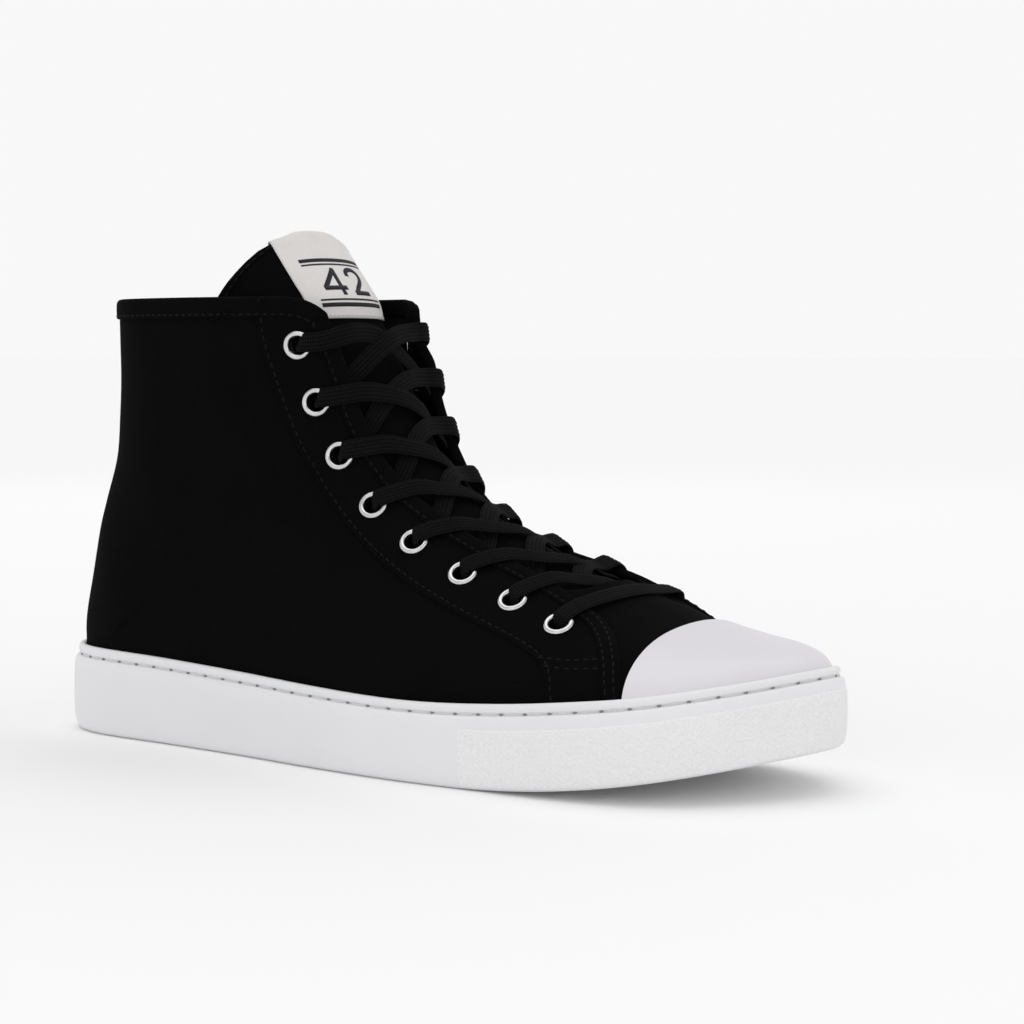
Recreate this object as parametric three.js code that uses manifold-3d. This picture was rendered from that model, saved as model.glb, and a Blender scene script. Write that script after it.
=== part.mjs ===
// High top lace-up sneaker, right shoe, standing empty on its sole.
//
// The shoe is drawn around a last (the form that a shoemaker pulls the upper over). lastSolid(offset)
// gives that form, swollen or shrunk by an offset. The upper, the cup of the sole, the insole, the
// tongue and the toe cap are all cut or lofted from it, so that they nest with even gaps.
//
// Millimetres, +X to the toe, +Y to the medial (inner) side, +Z up. While drawing, X = 0 is the back
// of the heel and Z = 0 the ground; the finished group is then centred over the shoe's own footprint.

import * as THREE from "three";
import { mergeVertices } from "three/addons/utils/BufferGeometryUtils.js";
import Module from "manifold-3d";

const wasm = await Module();
wasm.setup();

// ---------------------------------------------------------------- driving dimensions

const COLLAR_HEIGHT = 150;
const WALL = 2; // canvas, interlining and drill lining together
const GAP = 0.3; // between pieces that touch on the real shoe
const FAR = 400; // reach of a cutter that passes right through

const LIP_THICKNESS = 2.2; // cup's lip around the upper
const SIDEWALL_REACH = 4.7; // from the upper out to the fullest part of the sidewall
const HEEL_FLOOR = 13; // ground to the inside of the cup
const FOREFOOT_FLOOR = 9;
const TOE_SPRING = 14.7;
const SPRING_START = 195;
const SPRING_END = 300;

const CAP_THICKNESS = 1.2;
const CAP_TUCK = 4; // how far the toe cap reaches down behind the lip
const INSOLE_THICKNESS = 4;
const TONGUE_THICKNESS = 2.6;
const TONGUE_CLEARANCE = 1.9; // under the facings, where the laces pass

const EYELET_HOLE = 3.4; // radius through the upper
const EYELET_BARREL = 3.0;
const EYELET_BORE = 2.5;
const EYELET_FLANGE = 4.7;
const EYELET_PROUD = 1.6;

const LACE_WIDTH = 6.5;
const LACE_THICKNESS = 1.3;

// ---------------------------------------------------------------- tables and smooth curves

function table(columns, rows) {
  const names = columns.split(" ");
  return rows.map((row) => Object.fromEntries(names.map((name, i) => [name, row[i]])));
}

// A smooth curve through the rows: cubic, with each row's slope taken from its two neighbours.
function smooth(rows, key, column, at) {
  const last = rows.length - 1;
  let i = 0;
  while (i < last - 1 && at > rows[i + 1][key]) i += 1;
  const slope = (k) => {
    const a = rows[Math.max(k - 1, 0)];
    const b = rows[Math.min(k + 1, last)];
    return (b[column] - a[column]) / (b[key] - a[key]);
  };
  const span = rows[i + 1][key] - rows[i][key];
  const t = THREE.MathUtils.clamp((at - rows[i][key]) / span, 0, 1);
  const h = [2 * t ** 3 - 3 * t ** 2 + 1, t ** 3 - 2 * t ** 2 + t, -2 * t ** 3 + 3 * t ** 2, t ** 3 - t ** 2];
  return (
    h[0] * rows[i][column] + h[1] * span * slope(i) + h[2] * rows[i + 1][column] + h[3] * span * slope(i + 1)
  );
}

// ---------------------------------------------------------------- the last

// One row for each cross-section, from the tip of the toe round to the collar. A section's plane
// holds the Y direction and runs from a top point, on the ridge of the foot or the front of the leg,
// to a back point, under the foot or behind the heel. lateral and medial are its widest half-widths,
// reached at "belly" of the way from back to top. crown and shoulder set how square the top corner
// is, seat and flank the bottom or back corner: each is a share of the corner's two sides.
const LAST = table(
  "row topX topZ topY backX backZ backY lateral medial belly crown shoulder seat flank",
  [
    [0, 294.7, 37.0, 9.7, 294.9, 20, 9.7, 1.2, 1.2, 0.6, 0.6, 0.6, 0.8, 0.8],
    [1, 293.6, 39.2, 9.6, 293.9, 19, 9.6, 8.0, 4.8, 0.6, 0.6, 0.6, 0.8, 0.8],
    [2, 290.8, 41.0, 9.4, 291.2, 17, 9.4, 15.9, 9.7, 0.6, 0.62, 0.6, 0.8, 0.8],
    [3, 286, 42.4, 9.0, 286, 15, 9.0, 23.8, 17.0, 0.6, 0.64, 0.6, 0.8, 0.8],
    [4, 278, 43.8, 8.3, 278, 12, 8.3, 34.8, 25.6, 0.6, 0.66, 0.6, 0.8, 0.8],
    [5, 265, 45.8, 6.8, 265, 8, 6.8, 44.3, 34.4, 0.55, 0.66, 0.6, 0.8, 0.8],
    [6, 250, 49.6, 5.5, 249, 5, 5.5, 48.3, 39.6, 0.5, 0.6, 0.6, 0.8, 0.8],
    [7, 233, 57.0, 4.6, 228, 4, 4.5, 49.3, 42.2, 0.42, 0.48, 0.55, 0.8, 0.8],
    [8, 212, 67.0, 4.1, 200, 4, 4.0, 49.3, 41.8, 0.36, 0.42, 0.46, 0.8, 0.8],
    [9, 191, 76.0, 4.0, 168, 4, 3.4, 49.0, 36.5, 0.33, 0.44, 0.45, 0.8, 0.8],
    [10, 173, 84.8, 4.0, 130, 4, 2.8, 45.5, 33.0, 0.34, 0.52, 0.5, 0.8, 0.8],
    [11, 159, 94.3, 4.0, 90, 4, 2.2, 40.5, 33.0, 0.38, 0.62, 0.56, 0.8, 0.75],
    [12, 149.8, 104.6, 4.0, 48, 5, 1.6, 37.0, 34.0, 0.42, 0.7, 0.64, 0.8, 0.7],
    [13, 144, 115, 4.0, 13, 9, 1.0, 35.5, 34.0, 0.46, 0.76, 0.7, 0.8, 0.7],
    [14, 141, 122, 4.0, 4.7, 28, 0.6, 35.0, 33.5, 0.48, 0.78, 0.72, 0.72, 0.66],
    [15, 138.5, 128.3, 4.0, 6.6, 50, 0.8, 34.5, 33.2, 0.48, 0.8, 0.74, 0.66, 0.6],
    [16, 136.3, 134, 4.0, 12.6, 75, 1.2, 34.5, 33.2, 0.48, 0.8, 0.75, 0.64, 0.58],
    [17, 134.6, 139.2, 4.0, 18.8, 97, 1.5, 35.0, 33.5, 0.48, 0.8, 0.75, 0.64, 0.58],
    [18, 133.1, 143.8, 4.0, 22.4, 117, 1.7, 35.8, 34.2, 0.48, 0.8, 0.75, 0.64, 0.58],
    [19, 132.0, 147.3, 4.0, 24.1, 135, 1.8, 36.6, 35.0, 0.48, 0.8, 0.75, 0.64, 0.58],
    [20, 131.5, 150, 4.0, 24.5, 150, 1.8, 37.0, 35.5, 0.48, 0.8, 0.75, 0.64, 0.58],
    [21, 130.0, 158, 4.0, 24.6, 162, 1.8, 37.0, 35.5, 0.48, 0.8, 0.75, 0.64, 0.58],
  ],
);
const TOP_ROW = 21;

const LATERAL = -1;
const MEDIAL = 1;

function bezier(a, b, c, d, t) {
  const s = 1 - t;
  return s ** 3 * a + 3 * s ** 2 * t * b + 3 * s * t ** 2 * c + t ** 3 * d;
}

// A point of the last: row is a row number, whole or not; turn runs from 0 at the top point through
// 0.5 at the widest place to 1 at the back point, on the lateral or the medial side.
function lastPoint(row, side, turn) {
  const at = (column) => smooth(LAST, "row", column, row);
  const belly = at("belly");
  let across;
  let up;
  if (turn < 0.5) {
    const t = turn * 2;
    const rise = 1 - belly;
    across = bezier(0, at("crown"), 1, 1, t);
    up = belly + rise * bezier(1, 1, at("shoulder"), 0, t);
  } else {
    const t = turn * 2 - 1;
    across = bezier(1, 1, at("seat"), 0, t);
    up = belly * bezier(1, 1 - at("flank"), 0, 0, t);
  }
  const halfWidth = at(side === LATERAL ? "lateral" : "medial");
  return new THREE.Vector3(
    THREE.MathUtils.lerp(at("backX"), at("topX"), up),
    THREE.MathUtils.lerp(at("backY"), at("topY"), up) + side * across * halfWidth,
    THREE.MathUtils.lerp(at("backZ"), at("topZ"), up),
  );
}

// ---------------------------------------------------------------- solids from rings of points

// A closed body through rings of points. Each ring starts at its middle and runs round one side and
// back along the other, so an end is closed by rungs between the two sides.
function loft(rings) {
  const count = rings[0].length;
  const positions = rings.flat().flatMap((p) => [p.x, p.y, p.z]);
  const faces = [];
  for (let r = 0; r + 1 < rings.length; r += 1) {
    for (let i = 0; i < count; i += 1) {
      const j = (i + 1) % count;
      const a = r * count + i;
      const b = r * count + j;
      faces.push([a, b, b + count], [a, b + count, a + count]);
    }
  }
  const closeEnd = (start, flip) => {
    for (let i = 0; i < count / 2; i += 1) {
      const corners = [i, i + 1, count - i - 1, (count - i) % count].map((k) => start + k);
      for (const face of [[corners[0], corners[1], corners[2]], [corners[0], corners[2], corners[3]]]) {
        if (new Set(face).size === 3) faces.push(flip ? face.reverse() : face);
      }
    }
  };
  closeEnd(0, true);
  closeEnd((rings.length - 1) * count, false);
  return solidFrom(positions, faces.flat());
}

function solidFrom(positions, index) {
  let volume = 0;
  const corner = (k) => new THREE.Vector3().fromArray(positions, index[k] * 3);
  for (let k = 0; k < index.length; k += 3) {
    volume += corner(k).dot(corner(k + 1).cross(corner(k + 2)));
  }
  const outward = volume > 0 ? index : [...index].reverse();
  return new wasm.Manifold(
    new wasm.Mesh({
      numProp: 3,
      vertProperties: new Float32Array(positions),
      triVerts: new Uint32Array(outward),
    }),
  );
}

function solidFromGeometry(geometry) {
  const bare = geometry.clone();
  bare.deleteAttribute("normal");
  bare.deleteAttribute("uv");
  const merged = mergeVertices(bare, 1e-4);
  return solidFrom([...merged.attributes.position.array], [...merged.index.array]);
}

function geometryFrom(solid) {
  const { vertProperties, triVerts, numProp } = solid.getMesh();
  const geometry = new THREE.BufferGeometry();
  const points = [];
  for (let k = 0; k < vertProperties.length; k += numProp) {
    points.push(vertProperties[k], vertProperties[k + 1], vertProperties[k + 2]);
  }
  geometry.setAttribute("position", new THREE.Float32BufferAttribute(points, 3));
  geometry.setIndex([...triVerts]);
  geometry.computeVertexNormals();
  return geometry;
}

// A prism along Y under, or over, a line given as [x, z] points.
function prismAlongY(outline) {
  const shape = new THREE.Shape(outline.map(([x, z]) => new THREE.Vector2(x, -z)));
  const geometry = new THREE.ExtrudeGeometry(shape, { depth: FAR, bevelEnabled: false });
  geometry.translate(0, 0, -FAR / 2);
  geometry.rotateX(-Math.PI / 2);
  return solidFromGeometry(geometry);
}

function prismAlongZ(outline) {
  const shape = new THREE.Shape(outline.map(([x, y]) => new THREE.Vector2(x, y)));
  const geometry = new THREE.ExtrudeGeometry(shape, { depth: FAR, bevelEnabled: false });
  geometry.translate(0, 0, -FAR / 2);
  return solidFromGeometry(geometry);
}

// ---------------------------------------------------------------- the last as a solid

const ROWS_BETWEEN = 1.2; // rings drawn for each row of the table
const SIDE_POINTS = 12;

const ringRows = Array.from(
  { length: Math.round(TOP_ROW * ROWS_BETWEEN) + 1 },
  (_, i) => i / ROWS_BETWEEN,
);

function lastRing(row) {
  const turns = Array.from({ length: SIDE_POINTS + 1 }, (_, i) => i / SIDE_POINTS);
  const lateral = turns.map((turn) => lastPoint(row, LATERAL, turn));
  const medial = turns.slice(1, -1).reverse().map((turn) => lastPoint(row, MEDIAL, turn));
  return [...lateral, ...medial];
}

const lastRings = ringRows.map(lastRing);

// Outward normal at each point of the rings.
const lastNormals = lastRings.map((ring, r) => {
  const before = lastRings[Math.max(r - 1, 0)];
  const after = lastRings[Math.min(r + 1, lastRings.length - 1)];
  return ring.map((_, i) => {
    const along = after[i].clone().sub(before[i]);
    const around = ring[(i + 1) % ring.length].clone().sub(ring[(i + ring.length - 1) % ring.length]);
    return along.cross(around).normalize();
  });
});

function lastSolid(offset) {
  return loft(lastRings.map((ring, r) => ring.map((p, i) => p.clone().addScaledVector(lastNormals[r][i], offset))));
}

// ---------------------------------------------------------------- the sole's levels

function soleBottom(x) {
  const t = THREE.MathUtils.clamp((x - SPRING_START) / (SPRING_END - SPRING_START), 0, 1.05);
  return TOE_SPRING * t ** 1.8;
}

function soleFloor(x) {
  const depth = THREE.MathUtils.lerp(HEEL_FLOOR, FOREFOOT_FLOOR, THREE.MathUtils.smoothstep(x, 70, 190));
  return soleBottom(x) + depth;
}

const LIP_TOP = table("x z", [
  [0, 30.3], [43, 29.8], [86, 28.3], [140, 26.2], [170, 25.4], [192, 25.7],
  [217, 27.3], [241, 29.7], [262, 32.2], [285, 36.2], [300, 39.6],
]);

function lipTop(x) {
  return smooth(LIP_TOP, "x", "z", x);
}

// [x, z] points of a level, from behind the heel to beyond the toe.
function levelLine(level, lift) {
  const stations = [-20, 0, 40, 70, 95, 120, 145, 170, 195, 210, 225, 240, 255, 270, 282, 293, 305];
  return stations.map((x) => [x, level(x) + lift]);
}

function below(level, lift) {
  return prismAlongY([...levelLine(level, lift), [305, -FAR / 2], [-20, -FAR / 2]]);
}

// ---------------------------------------------------------------- outsole

// The line where the upper leaves the cup, a little under the lip's top: every last section is
// followed down to that level. The sole's walls are drawn outwards from it.
function heightCrossing(row, side, level) {
  let high = 0;
  let low = 1;
  for (let k = 0; k < 40; k += 1) {
    const middle = (high + low) / 2;
    const p = lastPoint(row, side, middle);
    if (p.z > level(p.x)) high = middle;
    else low = middle;
  }
  return lastPoint(row, side, (high + low) / 2);
}

const FEATHER_DEPTH = 6;
const FEATHER_END_ROW = 13.7;
const FEATHER_STEPS = 34;
const SOLE_POINTS = 56;

function featherLine() {
  const level = (x) => lipTop(x) - FEATHER_DEPTH;
  const rows = Array.from({ length: FEATHER_STEPS + 1 }, (_, i) => FEATHER_END_ROW * (i / FEATHER_STEPS) ** 1.3);
  const lateral = rows.map((row) => heightCrossing(row, LATERAL, level));
  const medial = rows.map((row) => heightCrossing(row, MEDIAL, level)).reverse();
  return new THREE.CatmullRomCurve3([...medial, ...lateral], true, "centripetal");
}

const feather = featherLine();

// reach: out from the feather line; share: from the ground (0) to the lip's top (1).
const SIDEWALL = table("reach share", [
  [SIDEWALL_REACH - 3.2, 0], [SIDEWALL_REACH - 1.5, 0.03], [SIDEWALL_REACH - 0.5, 0.1],
  [SIDEWALL_REACH, 0.26], [SIDEWALL_REACH, 0.55], [SIDEWALL_REACH - 0.3, 0.78],
  [SIDEWALL_REACH - 0.8, 0.845], [LIP_THICKNESS + 0.5, 0.868], [LIP_THICKNESS + GAP, 0.885],
  [LIP_THICKNESS + GAP, 1],
]);

function soleRing(reach, heightAt) {
  return Array.from({ length: SOLE_POINTS }, (_, i) => {
    // Closer together round the heel and the toe than along the sides.
    const way = i / SOLE_POINTS - Math.sin((4 * Math.PI * i) / SOLE_POINTS) / (8 * Math.PI);
    const p = feather.getPointAt(way);
    const along = feather.getTangentAt(way).setZ(0).normalize();
    p.x -= along.y * reach;
    p.y += along.x * reach;
    p.z = heightAt(p.x);
    return p;
  });
}

const TREAD_MARGIN = 6; // plain rim around the tread
const TREAD_DEPTH = 1.5;
const GROOVE_WIDTH = 2.4;
const HEEL_GROOVES = [18, 32, 46, 60, 74];
const FOREFOOT_GROOVES = [156, 170, 184, 198, 212, 226, 240, 254, 268, 280];
const ARCH = [88, 142]; // the waist stands clear of the ground

function treadCutters() {
  const inside = loft([-10, 40].map((z) => soleRing(SIDEWALL_REACH - 3.2 - TREAD_MARGIN, () => z)));
  const slot = (from, to) => prismAlongY([
    [from, -FAR / 2], [to, -FAR / 2], [to, soleBottom(to) + TREAD_DEPTH], [from, soleBottom(from) + TREAD_DEPTH],
  ]);
  const grooves = [...HEEL_GROOVES, ...FOREFOOT_GROOVES].map((x) => slot(x, x + GROOVE_WIDTH));
  return [slot(...ARCH), ...grooves].reduce((all, one) => all.add(one)).intersect(inside);
}

// The zone of the toe cap: ahead of its rear seam, seen from above.
const CAP_REAR = table("y x", [
  [-70, 258], [-50, 257], [-36, 255.5], [-20, 254], [-5, 253.2], [8, 252.6], [25, 252], [45, 251.4], [70, 251],
]);

function aheadOfCapSeam(shift) {
  const line = Array.from({ length: 25 }, (_, i) => -66 + (132 * i) / 24);
  const seam = line.map((y) => [smooth(CAP_REAR, "y", "x", y) + shift, y]);
  return prismAlongZ([...seam, [FAR, 66], [FAR, -66]]);
}

function outsole() {
  const rings = SIDEWALL.map(({ reach, share }) =>
    soleRing(reach, (x) => THREE.MathUtils.lerp(soleBottom(x), lipTop(x), share)));
  const cavity = lastSolid(GAP).subtract(below(soleFloor, 0));
  const capRoom = lastSolid(GAP + CAP_THICKNESS + GAP)
    .intersect(aheadOfCapSeam(-GAP))
    .subtract(below(lipTop, -CAP_TUCK - GAP));
  return loft(rings).subtract(cavity).subtract(capRoom).subtract(treadCutters());
}

// ---------------------------------------------------------------- upper

const COLLAR_CORNER = { x: 114.5, z: COLLAR_HEIGHT - 14, radius: 14 };

function collarCutter() {
  const { x, z, radius } = COLLAR_CORNER;
  const arc = Array.from({ length: 9 }, (_, i) => {
    const angle = (i / 8) * (Math.PI / 2);
    return [x + radius * Math.cos(angle), z + radius * Math.sin(angle)];
  });
  return prismAlongY([[160, z - 4], ...arc, [-20, COLLAR_HEIGHT], [-20, FAR / 2], [160, FAR / 2]]);
}

// Half the gap between the two eyelet edges, from the front of the throat to the collar.
const THROAT = table("row half", [
  [7.44, 0.5], [7.48, 10], [7.56, 16], [7.7, 19.6], [7.95, 20.3], [8.3, 19.8], [9.3, 19], [11, 19.1],
  [12, 19.5], [13.4, 20.5], [15.3, 21.4], [17, 23], [18.2, 24.4], [TOP_ROW, 26.5],
]);
const THROAT_RINGS = 24;

function throatCutter() {
  const first = THROAT[0].row;
  const rings = Array.from({ length: THROAT_RINGS + 1 }, (_, i) => {
    const row = first + (TOP_ROW - first) * (i / THROAT_RINGS) ** 1.5;
    const crest = lastPoint(row, MEDIAL, 0);
    const back = lastPoint(row, MEDIAL, 1);
    const out = crest.clone().sub(back).setY(0).normalize();
    const half = smooth(THROAT, "row", "half", row);
    const corner = (along, across) => crest.clone().addScaledVector(out, along).add(new THREE.Vector3(0, across, 0));
    return [corner(8, -half), corner(8, half), corner(-24, half), corner(-24, -half)];
  });
  return loft(rings);
}

// A point of the last lifted along its outward normal. turn is as in lastPoint, and negative on the
// lateral side.
function turnedOnLast(row, turn, lift) {
  const side = turn < 0 ? LATERAL : MEDIAL;
  const away = Math.max(Math.abs(turn), 0.002);
  const step = 0.01;
  const point = lastPoint(row, side, away);
  const along = lastPoint(row + step, side, away).sub(lastPoint(row - step, side, away));
  const around = lastPoint(row, side, away + step).sub(point);
  const normal = around.cross(along).normalize();
  if (normal.dot(point.clone().sub(lastPoint(row, side, 1))) < 0) normal.negate();
  return { point: point.clone().addScaledVector(normal, lift), normal };
}

// The same at a distance measured round the section from its top point, negative to the lateral side.
function onLast(row, round, lift) {
  const side = round < 0 ? LATERAL : MEDIAL;
  const step = 0.005;
  let turn = 0;
  let walked = 0;
  let from = lastPoint(row, side, 0);
  while (turn < 0.6) {
    const to = lastPoint(row, side, turn + step);
    const stride = to.distanceTo(from);
    if (walked + stride >= Math.abs(round)) {
      return turnedOnLast(row, side * (turn + (step * (Math.abs(round) - walked)) / stride), lift);
    }
    walked += stride;
    turn += step;
    from = to;
  }
  return turnedOnLast(row, side * turn, lift);
}

// The eyelets, from the top one down to the one nearest the toe.
const EYELETS = table("row round", [
  [17.2, 37.2], [14.6, 35.8], [12.55, 34.1], [11.15, 33], [10.05, 33.2], [9.05, 33.8], [8.17, 34.2], [7.36, 35.4],
]);

function eyeletSpots() {
  return EYELETS.flatMap(({ row, round }, i) => [
    { name: `eyelet_lateral_${i + 1}`, ...onLast(row, -round, 0) },
    { name: `eyelet_medial_${i + 1}`, ...onLast(row, round, 0) },
  ]);
}

function turned(geometry, { point, normal }) {
  const turn = new THREE.Quaternion().setFromUnitVectors(new THREE.Vector3(0, 1, 0), normal);
  return geometry.applyQuaternion(turn).translate(point.x, point.y, point.z);
}

const EYELET_SIDES = 8;

function upper() {
  const shell = lastSolid(0)
    .subtract(lastSolid(-WALL))
    .subtract(below(soleFloor, GAP))
    .subtract(collarCutter())
    .subtract(throatCutter());
  const holes = eyeletSpots().map((spot) =>
    solidFromGeometry(turned(new THREE.CylinderGeometry(EYELET_HOLE, EYELET_HOLE, 8, EYELET_SIDES), spot)));
  return holes.reduce((rest, hole) => rest.subtract(hole), shell);
}

// ---------------------------------------------------------------- toe cap, insole, tongue

function toeCap() {
  return lastSolid(GAP + CAP_THICKNESS)
    .subtract(lastSolid(GAP))
    .intersect(aheadOfCapSeam(0))
    .subtract(below(lipTop, -CAP_TUCK));
}

function insole() {
  return lastSolid(-WALL - 2 * GAP)
    .intersect(below(soleFloor, GAP + INSOLE_THICKNESS))
    .subtract(below(soleFloor, GAP));
}

// How far round the last's sections the tongue reaches, from 0 at the middle of its face to 0.5 at the
// widest part of the leg, and how far it has sunk back from the facings; then its free end above the
// collar, which leans back: where the middle of its face is, and how far its section is tipped.
const TONGUE = table("row turn sunk", [
  [6.9, 0.16, 0], [8, 0.2, 0], [10, 0.23, 0], [12, 0.26, 0.5], [13.5, 0.29, 2], [15, 0.33, 4.4],
  [16.5, 0.37, 7.6], [18, 0.41, 10.6],
]);
const TONGUE_END = table("x z tip turn", [
  [116.8, 150, 8, 0.42], [113.2, 156.3, 14, 0.385], [109.4, 162, 18, 0.34], [106, 167, 21, 0.285],
  [103.8, 170.2, 22, 0.23], [102.4, 172.6, 22, 0.16],
]);
const TONGUE_ROWS = 15;
const TONGUE_ACROSS = 10;

function tongueSection(row, reach, sunk) {
  const face = -WALL - TONGUE_CLEARANCE;
  const stations = Array.from({ length: TONGUE_ACROSS + 1 }, (_, i) => reach * (-1 + (2 * i) / TONGUE_ACROSS));
  const outer = stations.map((turn) => turnedOnLast(row, turn, face).point);
  const inner = stations.map((turn) => turnedOnLast(row, turn, face - TONGUE_THICKNESS).point);
  return [...outer, ...inner.reverse()].map((p) => p.setX(p.x - sunk));
}

function tongue() {
  const first = TONGUE[0].row;
  const last = TONGUE.at(-1).row;
  const lying = Array.from({ length: TONGUE_ROWS + 1 }, (_, i) => {
    const row = THREE.MathUtils.lerp(first, last, i / TONGUE_ROWS);
    return tongueSection(row, smooth(TONGUE, "row", "turn", row), smooth(TONGUE, "row", "sunk", row));
  });
  const crest = onLast(last, 0, -WALL - TONGUE_CLEARANCE).point;
  const across = new THREE.Vector3(0, 1, 0);
  const free = TONGUE_END.map(({ x, z, tip, turn }) =>
    tongueSection(last, turn, 0).map((p) =>
      p.sub(crest).applyAxisAngle(across, THREE.MathUtils.degToRad(-tip)).add(new THREE.Vector3(x, crest.y, z))));
  return loft([...lying, ...free]);
}

// ---------------------------------------------------------------- eyelets

function eyeletGeometry() {
  const top = EYELET_PROUD;
  const bottom = -WALL - 0.6;
  const profile = [
    [EYELET_BORE, bottom], [EYELET_BARREL, bottom], [EYELET_BARREL, 0.5], [EYELET_FLANGE, 0.5],
    [EYELET_FLANGE - 0.8, top], [EYELET_BORE, top - 0.5], [EYELET_BORE, bottom],
  ];
  return new THREE.LatheGeometry(profile.map(([r, h]) => new THREE.Vector2(r, h)), EYELET_SIDES);
}

// ---------------------------------------------------------------- laces

// A flat lace along stations of [row, across, lift] on the last.
function laceStrip(stations) {
  const spots = stations.map(([row, across, lift]) => onLast(row, across, lift));
  const curve = new THREE.CatmullRomCurve3(spots.map(({ point }) => point), false, "centripetal");
  const steps = 7;
  const rings = Array.from({ length: steps + 1 }, (_, i) => {
    const t = i / steps;
    const k = t * (spots.length - 1);
    const from = spots[Math.floor(k)].normal;
    const to = spots[Math.ceil(k)].normal;
    const centre = curve.getPoint(t);
    const along = curve.getTangent(t);
    const normal = from.clone().lerp(to, k - Math.floor(k));
    normal.addScaledVector(along, -normal.dot(along)).normalize();
    const wide = along.clone().cross(normal).multiplyScalar(LACE_WIDTH / 2);
    const thick = normal.multiplyScalar(LACE_THICKNESS / 2);
    return [[1, 1], [1, -1], [-1, -1], [-1, 1]].map(([a, b]) =>
      centre.clone().addScaledVector(wide, a).addScaledVector(thick, b));
  });
  return loft(rings);
}

const LACE_SHORT = EYELET_FLANGE + 0.8; // a run stops clear of the eyelet's flange
const LACE_START = 15.5; // where a run comes up between facing and tongue

function laceCrossing(i) {
  const { row: rowTop, round } = EYELETS[i];
  const rowLow = THREE.MathUtils.lerp(rowTop, EYELETS[i + 1].row, 0.62);
  const rowMid = THREE.MathUtils.lerp(rowTop, EYELETS[i + 1].row, 0.3);
  const run = (side, lift) => laceStrip([
    [rowLow, -side * LACE_START, -1.4],
    [rowMid, -side * LACE_START * 0.45, lift - 0.8],
    [rowMid, 0, lift],
    [rowTop, side * LACE_START * 0.75, lift + 0.4],
    [rowTop, side * (round - LACE_SHORT), 1.8],
  ]);
  return run(MEDIAL, 1.2).add(run(LATERAL, 2.2));
}

function laceBar() {
  const { row, round } = EYELETS.at(-1);
  const end = round - LACE_SHORT;
  return laceStrip([[row, -end, 1.8], [row, -end * 0.6, 3.2], [row, 0, 3.4], [row, end * 0.6, 3.2], [row, end, 1.8]]);
}

// ---------------------------------------------------------------- materials and the finished group

const finish = (color, roughness, metalness) => new THREE.MeshStandardMaterial({ color, roughness, metalness });
const RUBBER = finish(0xe4e4e6, 0.55, 0);
const CAP_SKIN = finish(0xeaeaec, 0.4, 0);
const CANVAS = finish(0x0d0d0e, 0.95, 0);
const LINING = finish(0x161617, 0.95, 0);
const LACE = finish(0x101011, 0.9, 0);
const METAL = finish(0xd8d8da, 0.2, 1);

const shoe = new THREE.Group();

function addPiece(name, geometry, material) {
  const mesh = new THREE.Mesh(geometry, material);
  mesh.name = name;
  shoe.add(mesh);
}

addPiece("outsole", geometryFrom(outsole()), RUBBER);
addPiece("insole", geometryFrom(insole()), LINING);
addPiece("upper", geometryFrom(upper()), CANVAS);
addPiece("toe_cap", geometryFrom(toeCap()), CAP_SKIN);
addPiece("tongue", geometryFrom(tongue()), CANVAS);
for (const spot of eyeletSpots()) {
  addPiece(spot.name, turned(eyeletGeometry(), spot), METAL);
}
for (let i = 0; i + 1 < EYELETS.length; i += 1) {
  addPiece(`lace_crossing_${i + 1}`, geometryFrom(laceCrossing(i)), LACE);
}
addPiece(`lace_bar_${EYELETS.length}`, geometryFrom(laceBar()), LACE);

const footprint = new THREE.Box3().setFromObject(shoe);
const middle = footprint.getCenter(new THREE.Vector3());
shoe.position.set(-middle.x, -middle.y, -footprint.min.z);
shoe.updateMatrixWorld(true);

export default shoe;
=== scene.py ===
"""High top sneaker, right shoe: the finished looks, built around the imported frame.

The shoe is drawn, as its frame is, around a last, the form that a maker pulls the upper over. A place
on it is a row (0 at the tip of the toe, 20 at the collar) and a turn round that row's section (0 on the
ridge of the foot, 0.5 at its widest, 1 under the foot or behind the heel; negative on the lateral side).
The drawing is in millimetres, with X = 0 behind the heel and Z = 0 on the ground, and every mesh is
moved into the frame's metres as it is made.
"""

import math

import bmesh
import bpy
import numpy as np
from mathutils import Matrix, Vector


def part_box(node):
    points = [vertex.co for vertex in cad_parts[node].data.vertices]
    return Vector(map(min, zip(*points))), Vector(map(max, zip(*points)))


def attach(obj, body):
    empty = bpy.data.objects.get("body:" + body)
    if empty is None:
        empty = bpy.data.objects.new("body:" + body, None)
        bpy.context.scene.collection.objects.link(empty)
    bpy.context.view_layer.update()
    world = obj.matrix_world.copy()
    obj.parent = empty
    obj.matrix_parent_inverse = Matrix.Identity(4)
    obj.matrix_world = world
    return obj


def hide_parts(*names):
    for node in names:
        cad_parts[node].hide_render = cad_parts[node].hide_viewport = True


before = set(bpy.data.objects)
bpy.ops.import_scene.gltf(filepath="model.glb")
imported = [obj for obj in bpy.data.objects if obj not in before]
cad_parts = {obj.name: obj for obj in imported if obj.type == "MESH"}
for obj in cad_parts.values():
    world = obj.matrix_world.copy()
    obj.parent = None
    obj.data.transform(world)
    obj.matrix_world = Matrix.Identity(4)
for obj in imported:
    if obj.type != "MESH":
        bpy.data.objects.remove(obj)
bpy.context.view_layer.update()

LATERAL = -1
MEDIAL = 1
SIDES = {"lateral": LATERAL, "medial": MEDIAL}

# ---------------------------------------------------------------- driving sizes

COLLAR_CORNER_X = 114.5
COLLAR_CORNER_Z = 136.0
COLLAR_CORNER_RADIUS = 14.0
WALL = 2.0
CLEAR = 0.3

SIDEWALL_REACH = 4.7
FEATHER_DEPTH = 6.0
HEEL_FLOOR = 13.0
FOREFOOT_FLOOR = 9.0
TOE_SPRING = 14.7
SPRING_START = 195.0
SPRING_END = 300.0

CAP_THICKNESS = 1.3
CAP_TUCK = 4.0

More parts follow.
